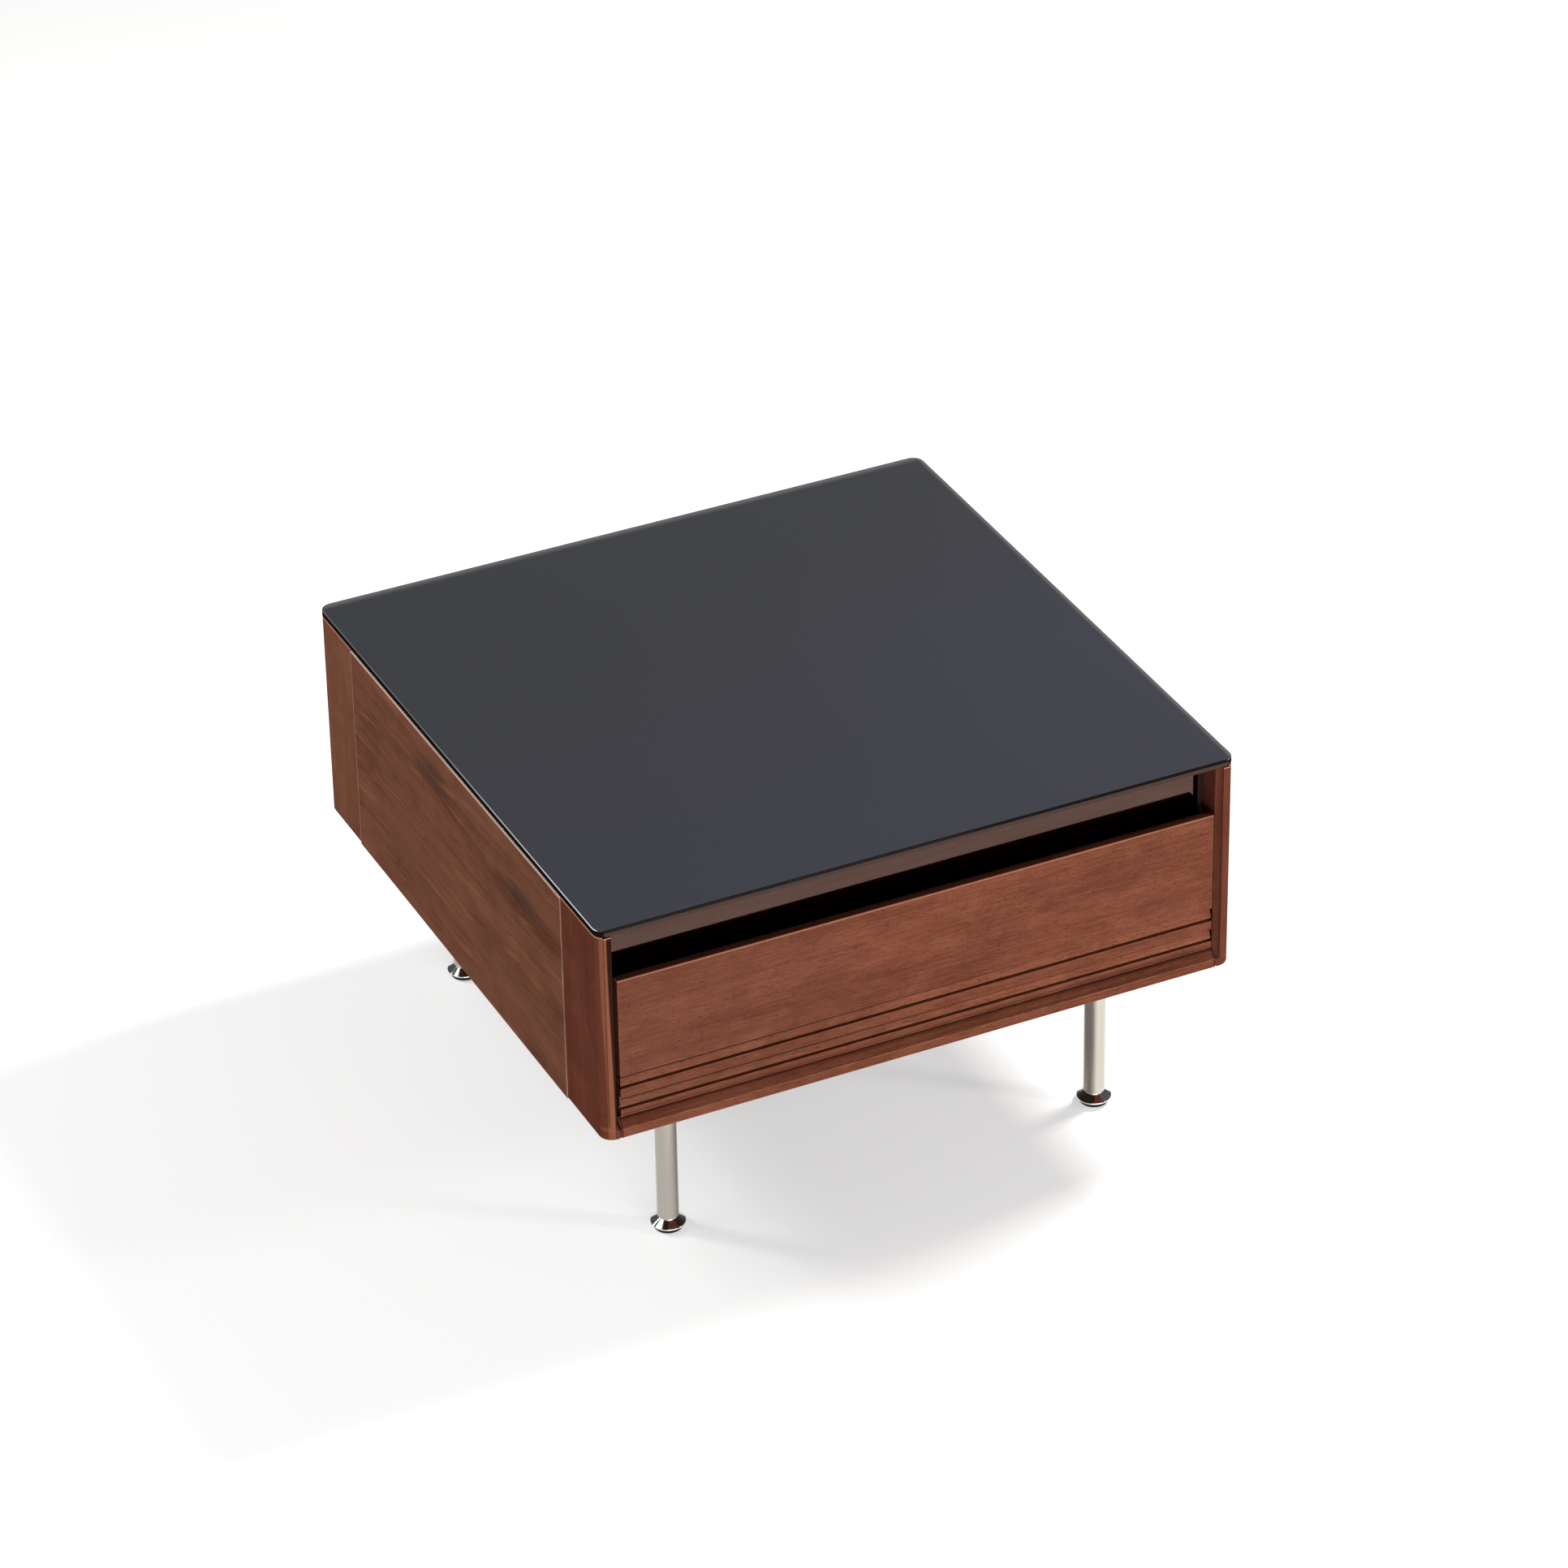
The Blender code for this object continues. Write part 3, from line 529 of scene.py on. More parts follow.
def inset(points, depth):
    """Move a closed outline inwards, each corner along its mitre."""
    if not depth:
        return list(points)
    area = sum(a[0] * b[1] - b[0] * a[1] for a, b in zip(points, points[1:] + points[:1]))
    way = 1 if area > 0 else -1
    made = []
    count = len(points)
    for k in range(count):
        here = Vector(points[k])
        first = (here - Vector(points[k - 1])).normalized()
        second = (Vector(points[(k + 1) % count]) - here).normalized()
        normal = Vector((-first.y - second.y, first.x + second.x)) * way
        scale = max(0.25, normal.dot(normal) / 2)
        made.append(tuple(here + normal * (depth / scale)))
    return made


def cap(shape, ring, core):
    """Close a ring. With a core, a rectangle that far in takes the middle, so no slivers cross the face."""
    if not core:
        shape.faces.new(ring)
        return
    lows, highs = ([pick(vert.co[axis] for vert in ring) for axis in range(3)] for pick in (min, max))
    made = {}

    def inward(vert):
        spot = tuple(c if high - low < 2 * core else min(max(c, low + core), high - core)
                     for c, low, high in zip(vert.co, lows, highs))
        if spot not in made:
            made[spot] = shape.verts.new(spot)
        return made[spot]

    inner = [inward(vert) for vert in ring]
    for k in range(len(ring)):
        corners = list(dict.fromkeys((ring[k - 1], ring[k], inner[k], inner[k - 1])))
        if len(corners) > 2:
            shape.faces.new(corners)
    shape.faces.new(list(dict.fromkeys(inner)))


def loft(rings, shape=None, core=0):
    """Skin closed rings of points, with a face across the first and the last one."""
    shape = shape or new_shape()
    made = [[shape.verts.new(point) for point in ring] for ring in rings]
    count = len(made[0])
    for below, above in zip(made, made[1:]):
        for k in range(count):
            n = (k + 1) % count
            shape.faces.new((below[k], below[n], above[n], above[k]))
    cap(shape, made[0], core)
    cap(shape, made[-1], core)
    return shape


def lift(axis, pair, along):
    """A point of an outline: (y, z) for X, (x, z) for Y, (x, y) for Z."""
    point = list(pair)
    point.insert(axis, along)
    return tuple(point)


def bar(outline, axis, low, high, ease=0.0006, steps=3, core=0):
    """Extrude an outline, with its two end edges rounded."""
    turns = [math.radians(90 * n / steps) for n in range(steps + 1)]
    levels = [(low + ease * (1 - math.cos(t)), ease * (1 - math.sin(t))) for t in turns]
    levels += [(high - ease * (1 - math.cos(t)), ease * (1 - math.sin(t))) for t in reversed(turns)]
    rings = [[lift(axis, point, along) for point in inset(outline, depth)] for along, depth in levels]
    return loft(rings, core=core)


def rectangle(left, right, low, high):
    """Corners of an upright rectangle."""
    return [(left, low), (right, low), (right, high), (left, high)]


def board(low, high, axis, ease=0.0007, corner=0.0007):
    """A rounded block between two corners, extruded along an axis."""
    first, second = (a for a in range(3) if a != axis)
    outline = rectangle(low[first], high[first], low[second], high[second])
    return bar(fillet(outline, corner, 3), axis, low[axis], high[axis], ease, core=0.0028)


def turned(profile, segments=96):
    """Revolve a closed (radius, height) profile about Z. Points on the axis share one vertex."""
    shape = new_shape()
    rings = []
    for radius, height in profile:
        if radius < 1e-7:
            rings.append([shape.verts.new((0, 0, height))] * segments)
            continue
        turns = [math.tau * k / segments for k in range(segments)]
        rings.append([shape.verts.new((radius * math.cos(t), radius * math.sin(t), height)) for t in turns])
    for here, after in zip(rings, rings[1:] + rings[:1]):
        for k in range(segments):
            n = (k + 1) % segments
            corners = list(dict.fromkeys((here[k], here[n], after[n], after[k])))
            if len(corners) > 2:
                shape.faces.new(corners)
    return shape


def mark_arrises(shape):
    """Flag the narrow slanting faces, which are the eased edges."""
    widest, squarest = 0.0010, 0.985
    layer = shape.faces.layers.float[ARRIS]
    shape.normal_update()
    for face in shape.faces:
        slanting = max(abs(c) for c in face.normal) < squarest
        if slanting and min(edge.calc_length() for edge in face.edges) < widest:
            face[layer] = 1.0


def piece(shape, look, slot, *nodes, body=None, name=None, at=(0, 0, 0), sharp=35):
    """Make an object of a shape. It stands for the nodes and rides on their body, unless one is given."""
    bmesh.ops.recalc_face_normals(shape, faces=shape.faces)
    mark_arrises(shape)
    name = name or nodes[0] + "_fine"
    mesh = bpy.data.meshes.new(name)
    shape.to_mesh(mesh)
    shape.free()
    mesh.materials.append(look)
    mesh.shade_smooth()
    mesh.set_sharp_from_angle(angle=math.radians(sharp))
    made = bpy.data.objects.new(name, mesh)
    made.location = at
    bpy.context.scene.collection.objects.link(made)
    even = made.modifiers.new("even_normals", "WEIGHTED_NORMAL")
    even.keep_sharp = True
    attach(made, body or frame["nodes"][nodes[0]]["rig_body"])
    if nodes:
        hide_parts(*nodes)
    return made


def dress(look, node):
    """Give a CAD node that stays in view a better material."""
    frame["nodes"][node].material_slots[0].material = look


# ---- screws and bolts ------------------------
def recess_outline(kind):
    """Directions round a cross or hexagon, and its reach in each, as a share of its greatest reach."""
    if kind == "hex":
        turns, half_side = [math.radians(15 * k) for k in range(24)], math.pi / 6
        return turns, [math.cos(half_side) / math.cos(t % (2 * half_side) - half_side) for t in turns]
    half = 0.24    # half the width of a cross's arm
    corner = math.atan(half)
    steps = [-math.pi / 4, -0.45, -corner, 0.0, corner, 0.45]
    reach = [min(1 / math.cos(t), half / max(1e-9, abs(math.sin(t)))) for t in steps]
    return [quarter * math.pi / 2 + t for quarter in range(4) for t in steps], reach * 4


def fasteners(places, profile, recess, width, depth):
    """Screws or bolts in one mesh. A place is (point, way the head faces); profile is (radius, height), tip
    first. width and depth are the recess's.
    """
    turns, reach = recess_outline(recess)
    top = profile[-1][1]
    levels = [([radius] * len(turns), height) for radius, height in profile]
    for share, height in ((1.0, top), (0.96, top - 0.3 * depth), (0.72, top - depth)):
        levels.append(([width * share * far for far in reach], height))
    rings = [[(r * math.cos(t), r * math.sin(t), height) for t, r in zip(turns, radii)]
             for radii, height in levels]
    shape = new_shape()
    for spot, way in places:
        turn = Vector(way).to_track_quat("Z", "Y")
        loft([[Vector(spot) + turn @ Vector(point) for point in ring] for ring in rings], shape)
    return shape


def pan_head(radius, height):
    """Profile of a rounded screw head, as (radius, height)."""
    shares = ((0.93, 0.0), (1.0, 0.12), (1.0, 0.40), (0.93, 0.70), (0.80, 0.90), (0.62, 1.0))
    return [(radius * wide, height * up) for wide, up in shares]


def thread(radius, depth, low, high, pitch):
    """Ridges along a shank, as (radius, height) from low to high."""
    made = []
    for k in range(int((high - low) / pitch)):
        made += [(radius - depth, low + k * pitch), (radius, low + (k + 0.5) * pitch)]
    return made


# ---- carcass ---------------------------------
def quarter(steps):
    """Angles from 0 to 90 degrees."""
    return [math.radians(90 * n / steps) for n in range(steps + 1)]


def post(corner, sx, sy, look):
    """Solid upright: big round on the outer corner, and on the front ones a long stopped bevel."""
    low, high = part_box(f"post_{corner}")
    inner, outer = sorted(abs(v) for v in (low.x, high.x))
    seam, end = sorted(abs(v) for v in (low.y, high.y))
    small, big_round, foot_round, top_round = 0.0007, 0.0120, 0.0018, 0.0007
    bevel, bevel_start, bevel_runout = 0.0085, 0.0085, 0.0115
    bevel_shrink = 0.586    # of a bevel's width for each step inwards

    def ring(height, cut, depth):
        cut = max(small, cut - bevel_shrink * depth)
        corners = [(inner + depth, seam + depth), (outer - depth, seam + depth), (outer - depth, end - depth)]
        corners += [(inner + depth + cut, end - depth), (inner + depth, end - depth - cut)]
        soft = min(0.0028, 0.7 * cut)
        outline = fillet(corners, [0.0004, 0.0006, big_round - depth, soft, soft], 8)
        return [(sx * x, sy * y, height) for x, y in outline]

    cut = bevel if sy < 0 else 0
    levels = [(low.z + foot_round * (1 - math.cos(t)), 0, foot_round * (1 - math.sin(t))) for t in quarter(5)]
    if cut:
        start = low.z + bevel_start
        levels += [(start + bevel_runout * (1 - math.cos(t)), cut * math.sin(t), 0) for t in quarter(14)]
    for t in quarter(3):
        levels.append((high.z - top_round * (1 - math.sin(t)), cut, top_round * (1 - math.cos(t))))
    piece(loft([ring(*level) for level in levels]), look, "post_wood", f"post_{corner}")


def pane(look):
    low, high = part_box("glass_top")
    corner, arris = 0.0110, 0.0007
    outline = fillet(rectangle(low.x, high.x, low.y, high.y), corner, 20)
    shape = bar(outline, Z, low.z, high.z, arris, 4, core=corner + 0.0020)
    piece(shape, look, "dark_glass", "glass_top")


def rail(look):
    low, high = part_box("bottom_front_rail")
    bevel = 0.0080
    outline = [(low.y, low.z), (high.y, low.z), (high.y, high.z)]
    outline += [(low.y + bevel, high.z), (low.y, high.z - bevel)]
    shape = bar(fillet(outline, [0.0018, 0.0005, 0.0005, 0.0012, 0.0016], 6), X, low.x, high.x, 0.0008)
    piece(shape, look, "front_wood", "bottom_front_rail")


def carcass(looks):
    pane(looks["glass"])
    for corner, sx, sy in CORNERS:
        post(corner, sx, sy, looks["post"])
    for side, _ in SIDES:
        node = f"side_panel_{side}"
        piece(board(*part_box(node), X, 0.0009, 0.0005), looks["panel"], "panel_wood", node)
    rail(looks["rail"])
    piece(board(*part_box("back_panel"), Y), looks["back"], "panel_wood", "back_panel")
    fascia = board(*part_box("fascia_strip"), Y, 0.0004, 0.0003)
    piece(fascia, looks["mirror"], "bronze_glass", "fascia_strip")
    dress(looks["board"], "bottom_panel")
    for node in ("top_stretcher_front", "top_stretcher_rear"):
        piece(board(*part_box(node), X, 0.0005, 0.0005), looks["board"], "dark_board", node)
    for corner, sx, sy in CORNERS:
        bracket(corner, sx, sy, looks["zinc"])
        glass_pad(corner, looks["pad"])
    for side, sign in SIDES:
        runner(side, sign, looks)


def middle_of(node):
    low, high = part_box(node)
    return (low + high) / 2


def ground_under(node):
    """The floor point below a node's middle."""
    return middle_of(node) * Vector((1, 1, 0))


def glass_pad(corner, look):
    node = f"glass_pad_{corner}"
    low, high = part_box(node)
    outline = rectangle(0, (high.x - low.x) / 2, low.z, high.z)
    outline = fillet(outline, [0, 0.0002, 0.0003, 0], 3)
    piece(turned(outline, 48), look, "clear_pad", node, at=ground_under(node))


def bracket(corner, sx, sy, look):
    """Bent steel angle between a stretcher and a side, with a screw in each arm."""
    node = f"corner_bracket_{corner}"
    low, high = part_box(node)
    arm, thick, bend, soft = high.x - low.x, 0.0020, 0.0028, 0.0006
    x = sx * max(abs(low.x), abs(high.x))
    y = sy * max(abs(low.y), abs(high.y))
    face_x, face_y = x - sx * thick, y - sy * thick
    outline = [(x, y), (x, y - sy * arm), (face_x, y - sy * arm)]
    outline += [(face_x, face_y), (x - sx * arm, face_y), (x - sx * arm, y)]
    outline = fillet(outline, [bend, soft, soft, bend - thick, soft, soft], 5)
    piece(bar(outline, Z, low.z, high.z, 0.0003), look, "zinc_steel", node)
    height, along = (low.z + high.z) / 2, 0.62 * arm
    places = [((face_x, y - sy * along, height), (-sx, 0, 0))]
    places += [((x - sx * along, face_y, height), (0, -sy, 0))]
    heads = fasteners(places, pan_head(0.0036, 0.0019), "cross", 0.0019, 0.0012)
    piece(heads, look, "zinc_steel", body="carcass", name=f"bracket_screws_{corner}")


# ---- runners ---------------------------------
def channel(web, tip, half, thick, lip, middle):
    """Outline in x and z of a rolled C-section: web, flanges out to tip, lips turned in."""
    way = 1 if tip > web else -1
    upper, bends = [(web, half), (tip, half)], [1.5 * thick, 1.2 * thick if lip else 0.2 * thick]
    if lip:
        upper += [(tip, half - lip), (tip - way * thick, half - lip), (tip - way * thick, half - thick)]
        bends += [0.4 * thick, 0.4 * thick, 0.3 * thick]
    else:
        upper.append((tip, half - thick))
        bends.append(0.2 * thick)
    upper.append((web + way * thick, half - thick))
    bends.append(0.6 * thick)
    outline = [(x, middle + z) for x, z in upper] + [(x, middle - z) for x, z in reversed(upper)]
    return fillet(outline, bends + bends[::-1], 4)


def member(node, sign, web_out, thick, lip, look):
    """One rolled member. web_out says whether its web is on the side away from the drawer."""
    low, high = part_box(node)
    inner, outer = sorted((abs(low.x), abs(high.x)))
    web, tip = (outer, inner) if web_out else (inner, outer)
    outline = channel(sign * web, sign * tip, (high.z - low.z) / 2, thick, lip, (high.z + low.z) / 2)
    piece(bar(outline, Y, low.y, high.y, 0.0002), look, "zinc_steel", node)
    return low, high


def balls(rows, radius, pitch, look, side, name):
    """Rows of steel balls. A row is (x, z, first y, last y)."""
    shape = new_shape()
    for x, z, start, end in rows:
        count = int((end - start) / pitch)
        for k in range(count + 1):
            spot = Matrix.Translation((x, start + (k + 0.5) * (end - start) / (count + 1), z))
            bmesh.ops.create_icosphere(shape, subdivisions=2, radius=radius, matrix=spot)
    piece(shape, look, "chrome", body=f"runner_middle_{side}", name=f"{name}_{side}", sharp=80)


def runner(side, sign, looks):
    """Three-part slide: rolled members, two cages of balls and the screws that hold it."""
    steel, heavy, light = looks["zinc"], 0.0012, 0.0010
    low, high = member(f"runner_cabinet_{side}", sign, True, heavy, 0.0040, steel)
    _, mid_high = member(f"runner_middle_{side}", sign, True, light, 0.0, steel)
    in_low, in_high = member(f"runner_drawer_{side}", sign, False, heavy, 0.0, steel)
    middle, half = (low.z + high.z) / 2, (low.y + high.y) / 2
    wall, drawer = max(abs(low.x), abs(high.x)), min(abs(in_low.x), abs(in_high.x))
    holes = (low.y + 0.030, half, high.y - 0.040)
    places = [((sign * (wall - heavy), y, middle), (-sign, 0, 0)) for y in holes]
    heads = fasteners(places, pan_head(0.0032, 0.0007), "cross", 0.0018, 0.0005)
    piece(heads, steel, "zinc_steel", body="carcass", name=f"cabinet_member_screws_{side}")
    holes = (low.y + 0.020, half, high.y - 0.030)
    places = [((sign * (drawer + heavy), y, middle), (sign, 0, 0)) for y in holes]
    heads = fasteners(places, pan_head(0.0036, 0.0017), "cross", 0.0019, 0.0011)
    piece(heads, steel, "zinc_steel", body="drawer", name=f"drawer_member_screws_{side}")

    # the outer balls sit in the rear half of the middle member and the inner ones in its front half,
    # so that both stay inside their channels when the drawer is out
    clear, race, pitch, half_sheet = 0.00005, 0.0012, 0.0110, 0.0003
    outer_x = sign * (abs(low.x + high.x) / 2 - 0.0008)
    outer_gap = (mid_high.z, high.z - heavy)
    inner_x = sign * (drawer + 0.0058)
    inner_gap = (in_high.z, mid_high.z - light)
    for name, x, gap, start, end in (
        ("outer_balls", outer_x, outer_gap, half - 0.020, high.y - 0.006),
        ("inner_balls", inner_x, inner_gap, low.y + 0.006, half + 0.020),
    ):
        up, radius = sum(gap) / 2 - middle, (gap[1] - gap[0]) / 2 - clear
        rows = [(x, middle + way * up, start, end) for way in (-1, 1)]
        balls(rows, radius, pitch, looks["ball"], side, name)
        cage = new_shape()
        for _, z, _, _ in rows:
            strip = rectangle(x - radius - race, x + radius + race / 4, z - half_sheet, z + half_sheet)
            strip = fillet(strip, 0.0001, 2)
            loft([[lift(Y, point, along) for point in strip] for along in (start, end)], cage)
        piece(cage, steel, "zinc_steel", body=f"runner_middle_{side}", name=f"{name}_cage_{side}")


# ---- drawer ----------------------------------
def drawer_front(look):
    low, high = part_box("drawer_front")
    slot, slot_depth, recess, lip = 0.0022, 0.0045, 0.0036, 0.0010
    roll_depth, roll_height = 0.0160, 0.0200
    outline, radii = [(low.y, low.z)], [0.0010]
    for bottom, top in FRONT_STEPS:
        outline += [(low.y, low.z + bottom), (low.y + slot_depth, low.z + bottom)]
        outline += [(low.y + slot_depth, low.z + bottom + slot), (low.y + lip, low.z + bottom + slot)]
        outline += [(low.y + recess, low.z + top - recess / 6), (low.y, low.z + top)]
        radii += [0.0005, 0.0001, 0.0001, 0.0004, 0.0004, 0.0004]
    outline += [(low.y, high.z)]
    radii += [0.0011]
    for turn in reversed(quarter(12)):
        back, up = roll_depth * (math.cos(turn) - 1), roll_height * (math.sin(turn) - 1)
        outline.append((high.y + back, high.z + up))
        radii.append(0)
    outline += [(high.y, low.z)]
    radii += [0.0005]
    shape = bar(fillet(outline, radii, 4), X, low.x, high.x, 0.0006)
    piece(shape, look, "front_wood", "drawer_front")


def drawer_side(side, sign, groove, look):
    """Side of the drawer box: rounded top edge, and a groove inside for the floor's rim."""
    node = f"drawer_side_{side}"
    low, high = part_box(node)
    inner, outer = sorted((abs(low.x), abs(high.x)))
    outline = grooved(sign * inner, sign * outer, low.z, high.z, groove)
    piece(bar(outline, Y, low.y, high.y, 0.0008), look, "box_wood", node)


def grooved(inner, outer, low, high, groove):
    """Section of a drawer board: inner and outer faces, foot, top and the groove's heights."""
    deep, soft, small = 0.0050, 0.0024, 0.0006
    bottom = inner + deep * (1 if outer > inner else -1)
    outline = [(outer, low), (outer, high), (inner, high), (inner, groove[1]), (bottom, groove[1])]
    outline += [(bottom, groove[0]), (inner, groove[0]), (inner, low)]
    return fillet(outline, [small, soft, soft, 0.0002, 0.0002, 0.0002, 0.0002, small], 5)


def drawer_floor(look):
    """Panel with a thinner rim, which runs in the grooves; its field fills the box."""
    low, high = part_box("drawer_floor")
    side, front, rear = 0.0050, 0.0050, 0.0120
    step, soft = low.z + 0.0030, 0.0004
    rim = (low.x, high.x, low.y, high.y)
    field = (low.x + side, high.x - side, low.y + front, high.y - rear)
    rings = []
    for (left, right, near, far), height, back in (
        (rim, low.z, soft), (rim, low.z + soft, 0), (rim, step - soft, 0), (rim, step, soft),
        (field, step, 0), (field, high.z - soft, 0), (field, high.z, soft),
    ):
        corners = rectangle(left + back, right - back, near + back, far - back)
        rings.append([(x, y, height) for x, y in corners])
    piece(loft(rings), look, "box_wood", "drawer_floor", sharp=60)


def drawer(looks):
    drawer_front(looks["front"])
    floor_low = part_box("drawer_floor")[0].z
    groove = (floor_low - 0.0003, floor_low + 0.0033)
    for side, sign in SIDES:
        drawer_side(side, sign, groove, looks["box"])
    low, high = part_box("drawer_box_front")
    outline = grooved(high.y, low.y, low.z, high.z, groove)
    piece(bar(outline, X, low.x, high.x, 0.0006), looks["box_cross"], "box_wood", "drawer_box_front")
    piece(board(*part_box("drawer_back"), X, 0.0006, 0.0022), looks["box_cross"], "box_wood", "drawer_back")
    drawer_floor(looks["box_cross"])
    for side, _ in SIDES:
        node = f"front_fixing_screw_{side}"
        low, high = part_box(node)
        spot, head, shank = middle_of(node), 0.0022, 0.0020
        seat, length = high.y - head, high.y - head - low.y
        profile = [(0.0010, -length)] + thread(shank, 0.0004, -length + 0.0020, -0.0090, 0.0014)
        profile += [(shank, -0.0085), (shank, 0.0)] + pan_head((high.x - low.x) / 2, head)
        shape = fasteners([((spot.x, seat, spot.z), (0, 1, 0))], profile, "cross", 0.0022, 0.0014)
        piece(shape, looks["zinc"], "zinc_steel", node)


# ---- legs ------------------------------------
def tube(corner, sx, look):
    node = f"leg_tube_{corner}"
    low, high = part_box(node)
    radius = (high.x - low.x) / 2
    wall = 0.0015
    shape = turned(fillet(rectangle(radius - wall, radius, low.z, high.z), 0.0004, 4))
    inward = shape.verts.layers.float.new(INWARD)
    for vert in shape.verts:
        vert[inward] = -sx * vert.co.x / Vector((vert.co.x, vert.co.y)).length
    piece(shape, look, "brushed_steel", node, at=ground_under(node))


def foot(corner, look):
    """Chrome glide: thin rounded disc, conical top, short neck under the tube and a threaded stud."""
    node = f"foot_{corner}"
    low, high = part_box(node)
    radius = (high.x - low.x) / 2
    collar_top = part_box(f"leg_tube_{corner}")[0].z - 0.0003
    rim, neck, stud = low.z + 0.0014, 0.0084, 0.0038
    profile = [(0, low.z), (radius, low.z), (radius, rim)]
    profile += [(neck, collar_top - 0.0008), (neck, collar_top), (stud, collar_top)]
    radii = [0, 0.0006, 0.0007, 0.0008, 0.0002, 0]
    ridges = thread(stud, 0.0005, collar_top + 0.0004, high.z - 0.0010, 0.00125)
    profile += ridges + [(stud, high.z - 0.0010), (0.0030, high.z), (0, high.z)]
    radii += [0] * (len(profile) - len(radii))
    piece(turned(fillet(profile, radii, 6)), look, "chrome", node, at=ground_under(node), sharp=30)


def sole(corner, look):
    """Black glide under the disc: flared side, and two shallow rings in its underside."""
    node = f"foot_pad_{corner}"
    low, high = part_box(node)
    flare = (high.x - low.x) / 2
    foot_radius, lip, deep, small = 0.0123, 0.0006, 0.0005, 0.0004
    profile, radii = [(0, low.z)], [0]
    for start in (0.0040, 0.0085):
        profile += [(start, low.z), (start + small, low.z + deep)]
        profile += [(start + 3 * small, low.z + deep), (start + 4 * small, low.z)]
        radii += [0, 0, 0, 0]
    profile += [(foot_radius, low.z), (flare, high.z - lip), (flare, high.z), (0, high.z)]
    radii += [0.0005, 0.0003, 0.0003, 0]
    piece(turned(fillet(profile, radii, 4)), look, "rubber", node, at=ground_under(node))


def plate(corner, look):
    """Turned flange under the box with a bored spigot in the tube's top, and three screws."""
    node = f"leg_plate_{corner}"
    low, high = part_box(node)
    radius, thick = (high.x - low.x) / 2, 0.0030
    tube_low, tube_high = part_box(f"leg_tube_{corner}")
    spigot, bore = (tube_high.x - tube_low.x) / 2 - 0.0018, 0.0042
    flange = high.z - thick
    outline = [(bore, low.z), (spigot, low.z), (spigot, flange)]
    outline += [(radius, flange), (radius, high.z), (bore, high.z)]
    spot = ground_under(node)
    shape = turned(fillet(outline, [0.0004, 0.0012, 0.0002, 0.0010, 0.0003, 0.0004], 5))
    piece(shape, look, "zinc_steel", node, at=spot)
    turns = [math.radians(120 * k + 30) for k in range(3)]
    ring = 0.0205
    places = [((spot.x + ring * math.cos(t), spot.y + ring * math.sin(t), flange), (0, 0, -1)) for t in turns]
    heads = fasteners(places, pan_head(0.0034, 0.0014), "cross", 0.0018, 0.0009)
    piece(heads, look, "zinc_steel", body="carcass", name=f"plate_screws_{corner}")


def bolt(corner, look):
    """Button-head bolt with a hexagon socket."""
    node = f"leg_bolt_{corner}"
    low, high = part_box(node)
    head, shank = 0.0030, 0.0038
    seat = high.z - head
    profile = [(shank - 0.0006, low.z)] + thread(shank, 0.0005, low.z + 0.0008, seat - 0.0125, 0.00125)
    profile += [(shank, seat - 0.0120), (shank, seat)]
    profile += [(radius, seat + height) for radius, height in pan_head((high.x - low.x) / 2, head)]
    shape = fasteners([(ground_under(node), (0, 0, 1))], profile, "hex", 0.0029, 0.0018)
    piece(shape, look, "zinc_steel", node)


def insert(corner, look):
    """Ribbed plug in the tube's lower end, bored for the foot's stud."""
    node = f"leg_insert_{corner}"
    low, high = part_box(node)
    radius, bore, soft, rib = (high.x - low.x) / 2, 0.0042, 0.0004, 0.0030
    profile = [(bore, low.z), (radius - soft, low.z), (radius, low.z + soft)]
    for k in range(5):
        height = low.z + 0.0030 + k * rib
        profile += [(radius, height), (radius - soft, height + 0.1 * rib), (radius, height + 0.8 * rib)]
    profile += [(radius, high.z - soft), (radius - soft, high.z), (bore, high.z)]
    piece(turned(profile, 64), look, "nylon", node, at=ground_under(node))


def legs(looks):
    for corner, sx, _ in CORNERS:
        # left tubes take the darker steel and right tubes the lighter: painted shade and painted light
        tube(corner, sx, looks["tube_painted_shade_left" if sx < 0 else "tube_painted_light_right"])
        foot(corner, looks["chrome"])
        sole(corner, looks["rubber"])
        plate(corner, looks["zinc"])
        bolt(corner, looks["zinc"])
        insert(corner, looks["nylon"])


# ---- floor and looks -------------------------
def add_floor():
    """Plain pale floor. A share of its light is its own, as under studio lamps from all sides."""
    shape = bmesh.new()
    bmesh.ops.create_grid(shape, x_segments=1, y_segments=1, size=FLOOR_HALF)
    mesh = bpy.data.meshes.new("floor")
    shape.to_mesh(mesh)
    shape.free()
    look = Look("floor_white", FLOOR_COLOUR, 0.9, Specular_IOR_Level=0.1,
                Emission_Color=(1, 1, 1, 1), Emission_Strength=FLOOR_GLOW)
    mesh.materials.append(look.made)
    floor = bpy.data.objects.new("floor", mesh)
    floor.location.z = -FLOOR_DROP
    bpy.context.scene.collection.objects.link(floor)


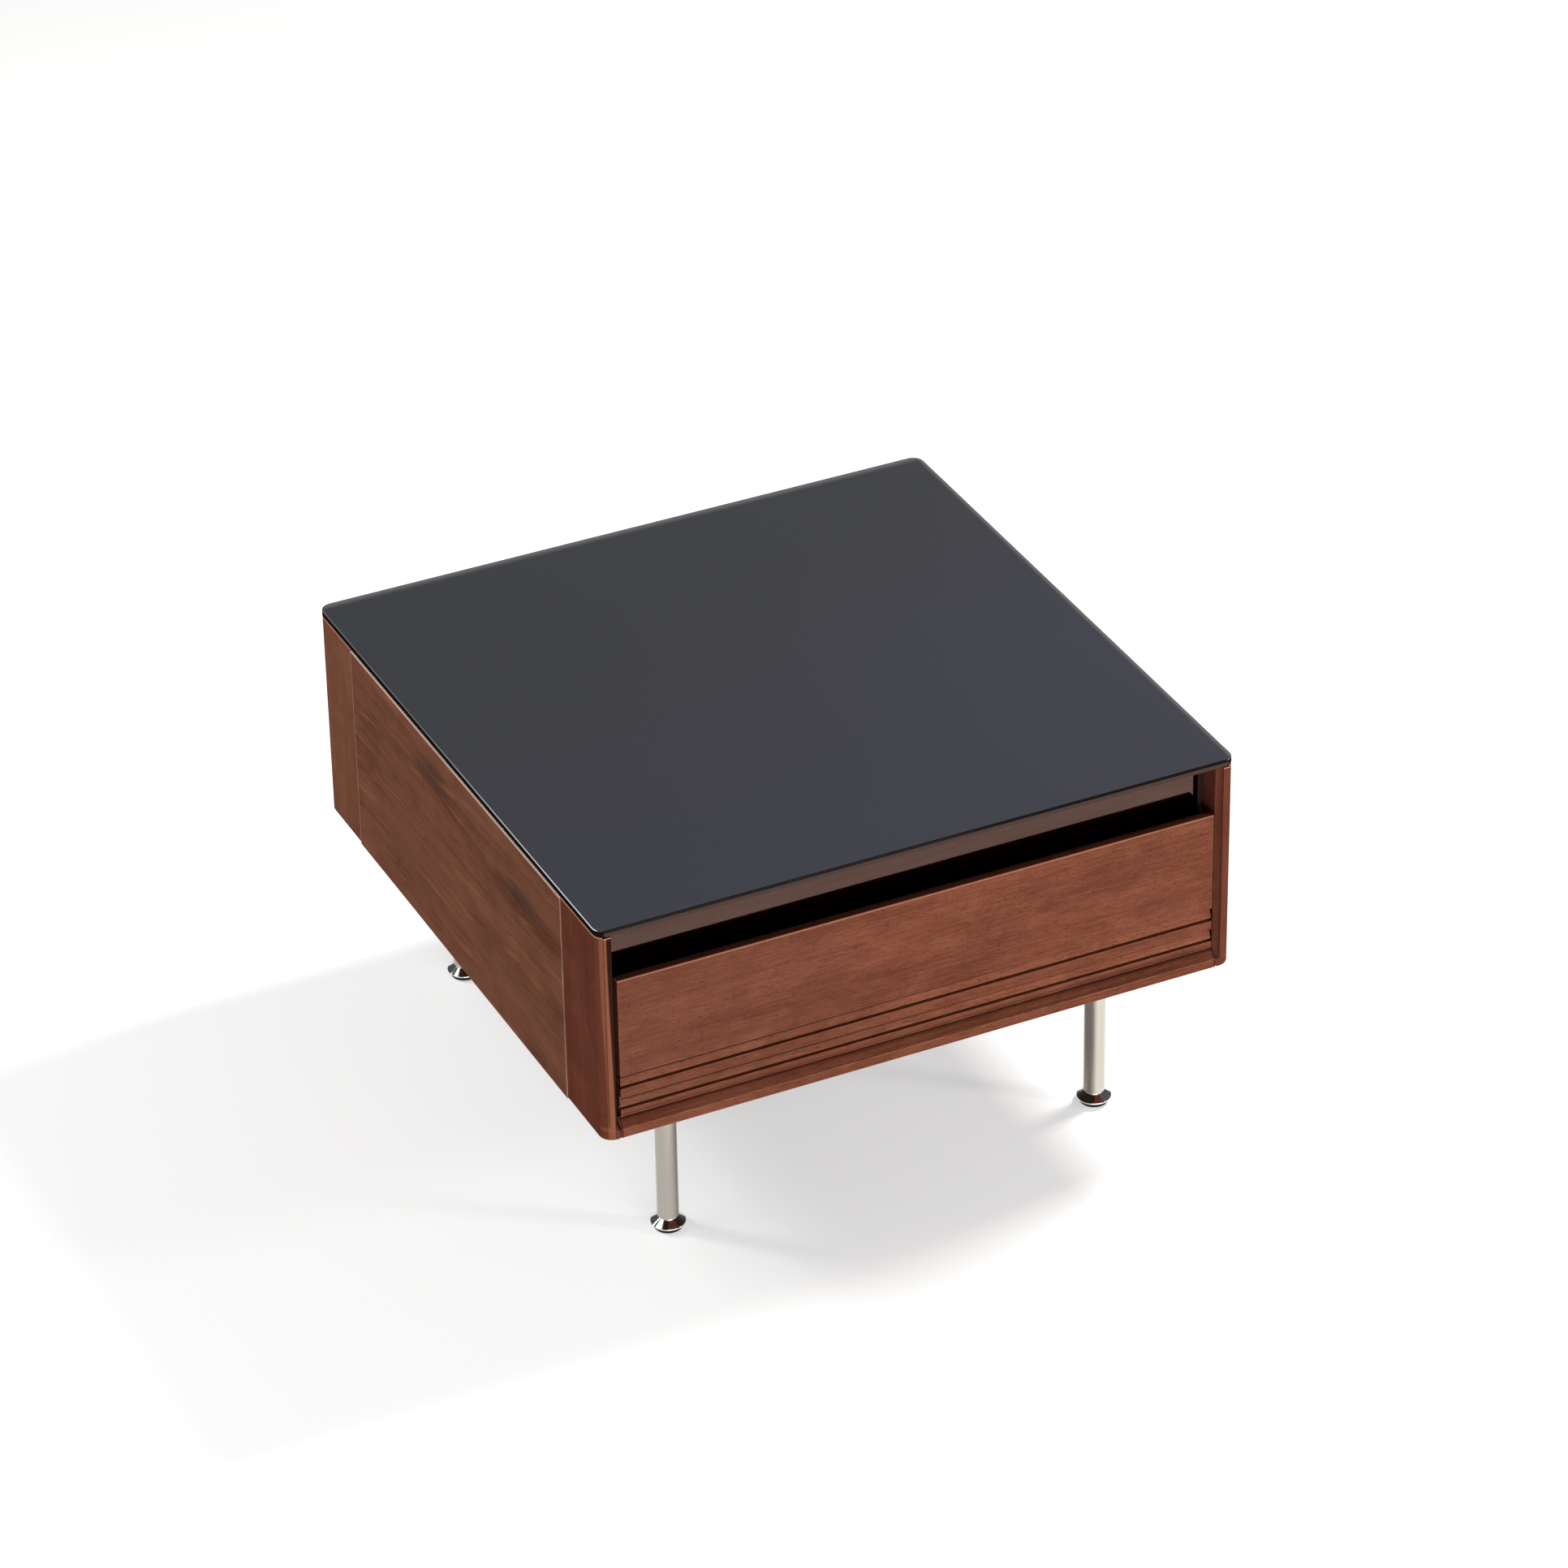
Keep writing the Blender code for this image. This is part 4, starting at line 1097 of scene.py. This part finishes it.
def make_looks():
    posts = [(0.085, 0.024, 0.014), (0.113, 0.034, 0.021), (0.145, 0.046, 0.029)]
    panels = [(0.095, 0.036, 0.021), (0.135, 0.054, 0.033), (0.162, 0.065, 0.039), (0.192, 0.079, 0.047)]
    fronts = [(0.098, 0.028, 0.014), (0.143, 0.0440, 0.0235), (0.190, 0.062, 0.035)]
    rails = [(0.090, 0.025, 0.012), (0.125, 0.0375, 0.020), (0.165, 0.054, 0.030)]
    boxes = [tone(176, 140, 100), tone(205, 170, 128), tone(220, 190, 150)]
    knots = ((0.045, 0.335, 0.045, 0.018, 0.020), (-0.150, 0.318, 0.055, 0.018, -0.016))
    # the worn colours below are partly wear and partly a painted highlight on the eased edges
    veneer = {"wear_and_highlight": (190, 150, 130), "wear_and_highlight_range": (0.2, 0.5), "shine": 0.0}
    pale = {"wear_and_highlight": (225, 200, 165), "bands": 0.4, "pores": 0.1, "streak": 0.020}
    return {
        "post": wood("post_wood_fine", Z, posts, 0.42, bands=0.22, lines=0.15, fibre=0.15, cloud=0.32,
                     pores=0.25, shine=0.0, wear_and_highlight_range=(0.0, 0.25), seed=3.1, extra=varied_posts),
        "panel": wood("panel_wood_fine", Y, panels, 0.46, knots, bands=0.40, lines=0.24, fibre=0.12,
                      cloud=0.26, pores=0.15, streak=0.030, seed=7.3, rings=True,
                      extra=pale_top_edge, **veneer),
        "back": wood("back_wood_fine", X, panels, 0.46, bands=0.45, lines=0.30, fibre=0.15, cloud=0.25,
                     pores=0.2, streak=0.025, seed=2.9, **veneer),
        "front": wood("front_wood_fine", X, fronts, 0.44, bands=0.25, lines=0.25, fibre=0.45, cloud=0.35,
                      pores=0.55, streak=0.020, seed=1.7, extra=shaded_steps),
        "rail": wood("rail_wood_fine", X, rails, 0.44, bands=0.5, lines=0.4, fibre=0.4, cloud=0.4,
                     pores=0.4, seed=5.2, extra=shaded_bevel),
        "box": wood("box_wood_fine", Y, boxes, 0.55, seed=9.4, **pale),
        "board": plain("dark_board_fine", tone(38, 24, 19), 0.62, 0.0008, 0.00003, Specular_IOR_Level=0.1),
        "glass": dark_glass(),
        "mirror": bronze_mirror(),
        "pad": plain("clear_pad_fine", (0.75, 0.76, 0.76), 0.3, 0.001, 0.00001),
        "box_cross": wood("box_wood_cross", X, boxes, 0.55, seed=4.6, **pale),
        "zinc": metal("zinc_steel_fine", (0.62, 0.63, 0.65), 0.36, (0.004, 0.004, 0.004), 0.00001),
        # one steel in two copies: darker on the left as painted shade, lighter on the right as painted light
        "tube_painted_shade_left": brushed_tube("left", (0.47, 0.435, 0.38)),
        "tube_painted_light_right": brushed_tube("right", (0.60, 0.56, 0.50)),
        "chrome": metal("chrome_fine", (0.80, 0.80, 0.82), 0.08, (0.003, 0.003, 0.003), 0.0, 0.05),
        "ball": metal("ball_steel_fine", (0.72, 0.73, 0.75), 0.12, (0.002, 0.002, 0.002), 0.0, 0.06),
        "rubber": plain("rubber_fine", (0.005, 0.005, 0.0052), 0.7, 0.0006, 0.00003, Specular_IOR_Level=0.15),
        "nylon": plain("nylon_fine", (0.030, 0.030, 0.031), 0.5, 0.0008, 0.00001),
    }


def main():
    add_camera()
    add_studio()
    add_floor()
    looks = make_looks()
    carcass(looks)
    drawer(looks)
    legs(looks)
    bpy.context.view_layer.update()


main()
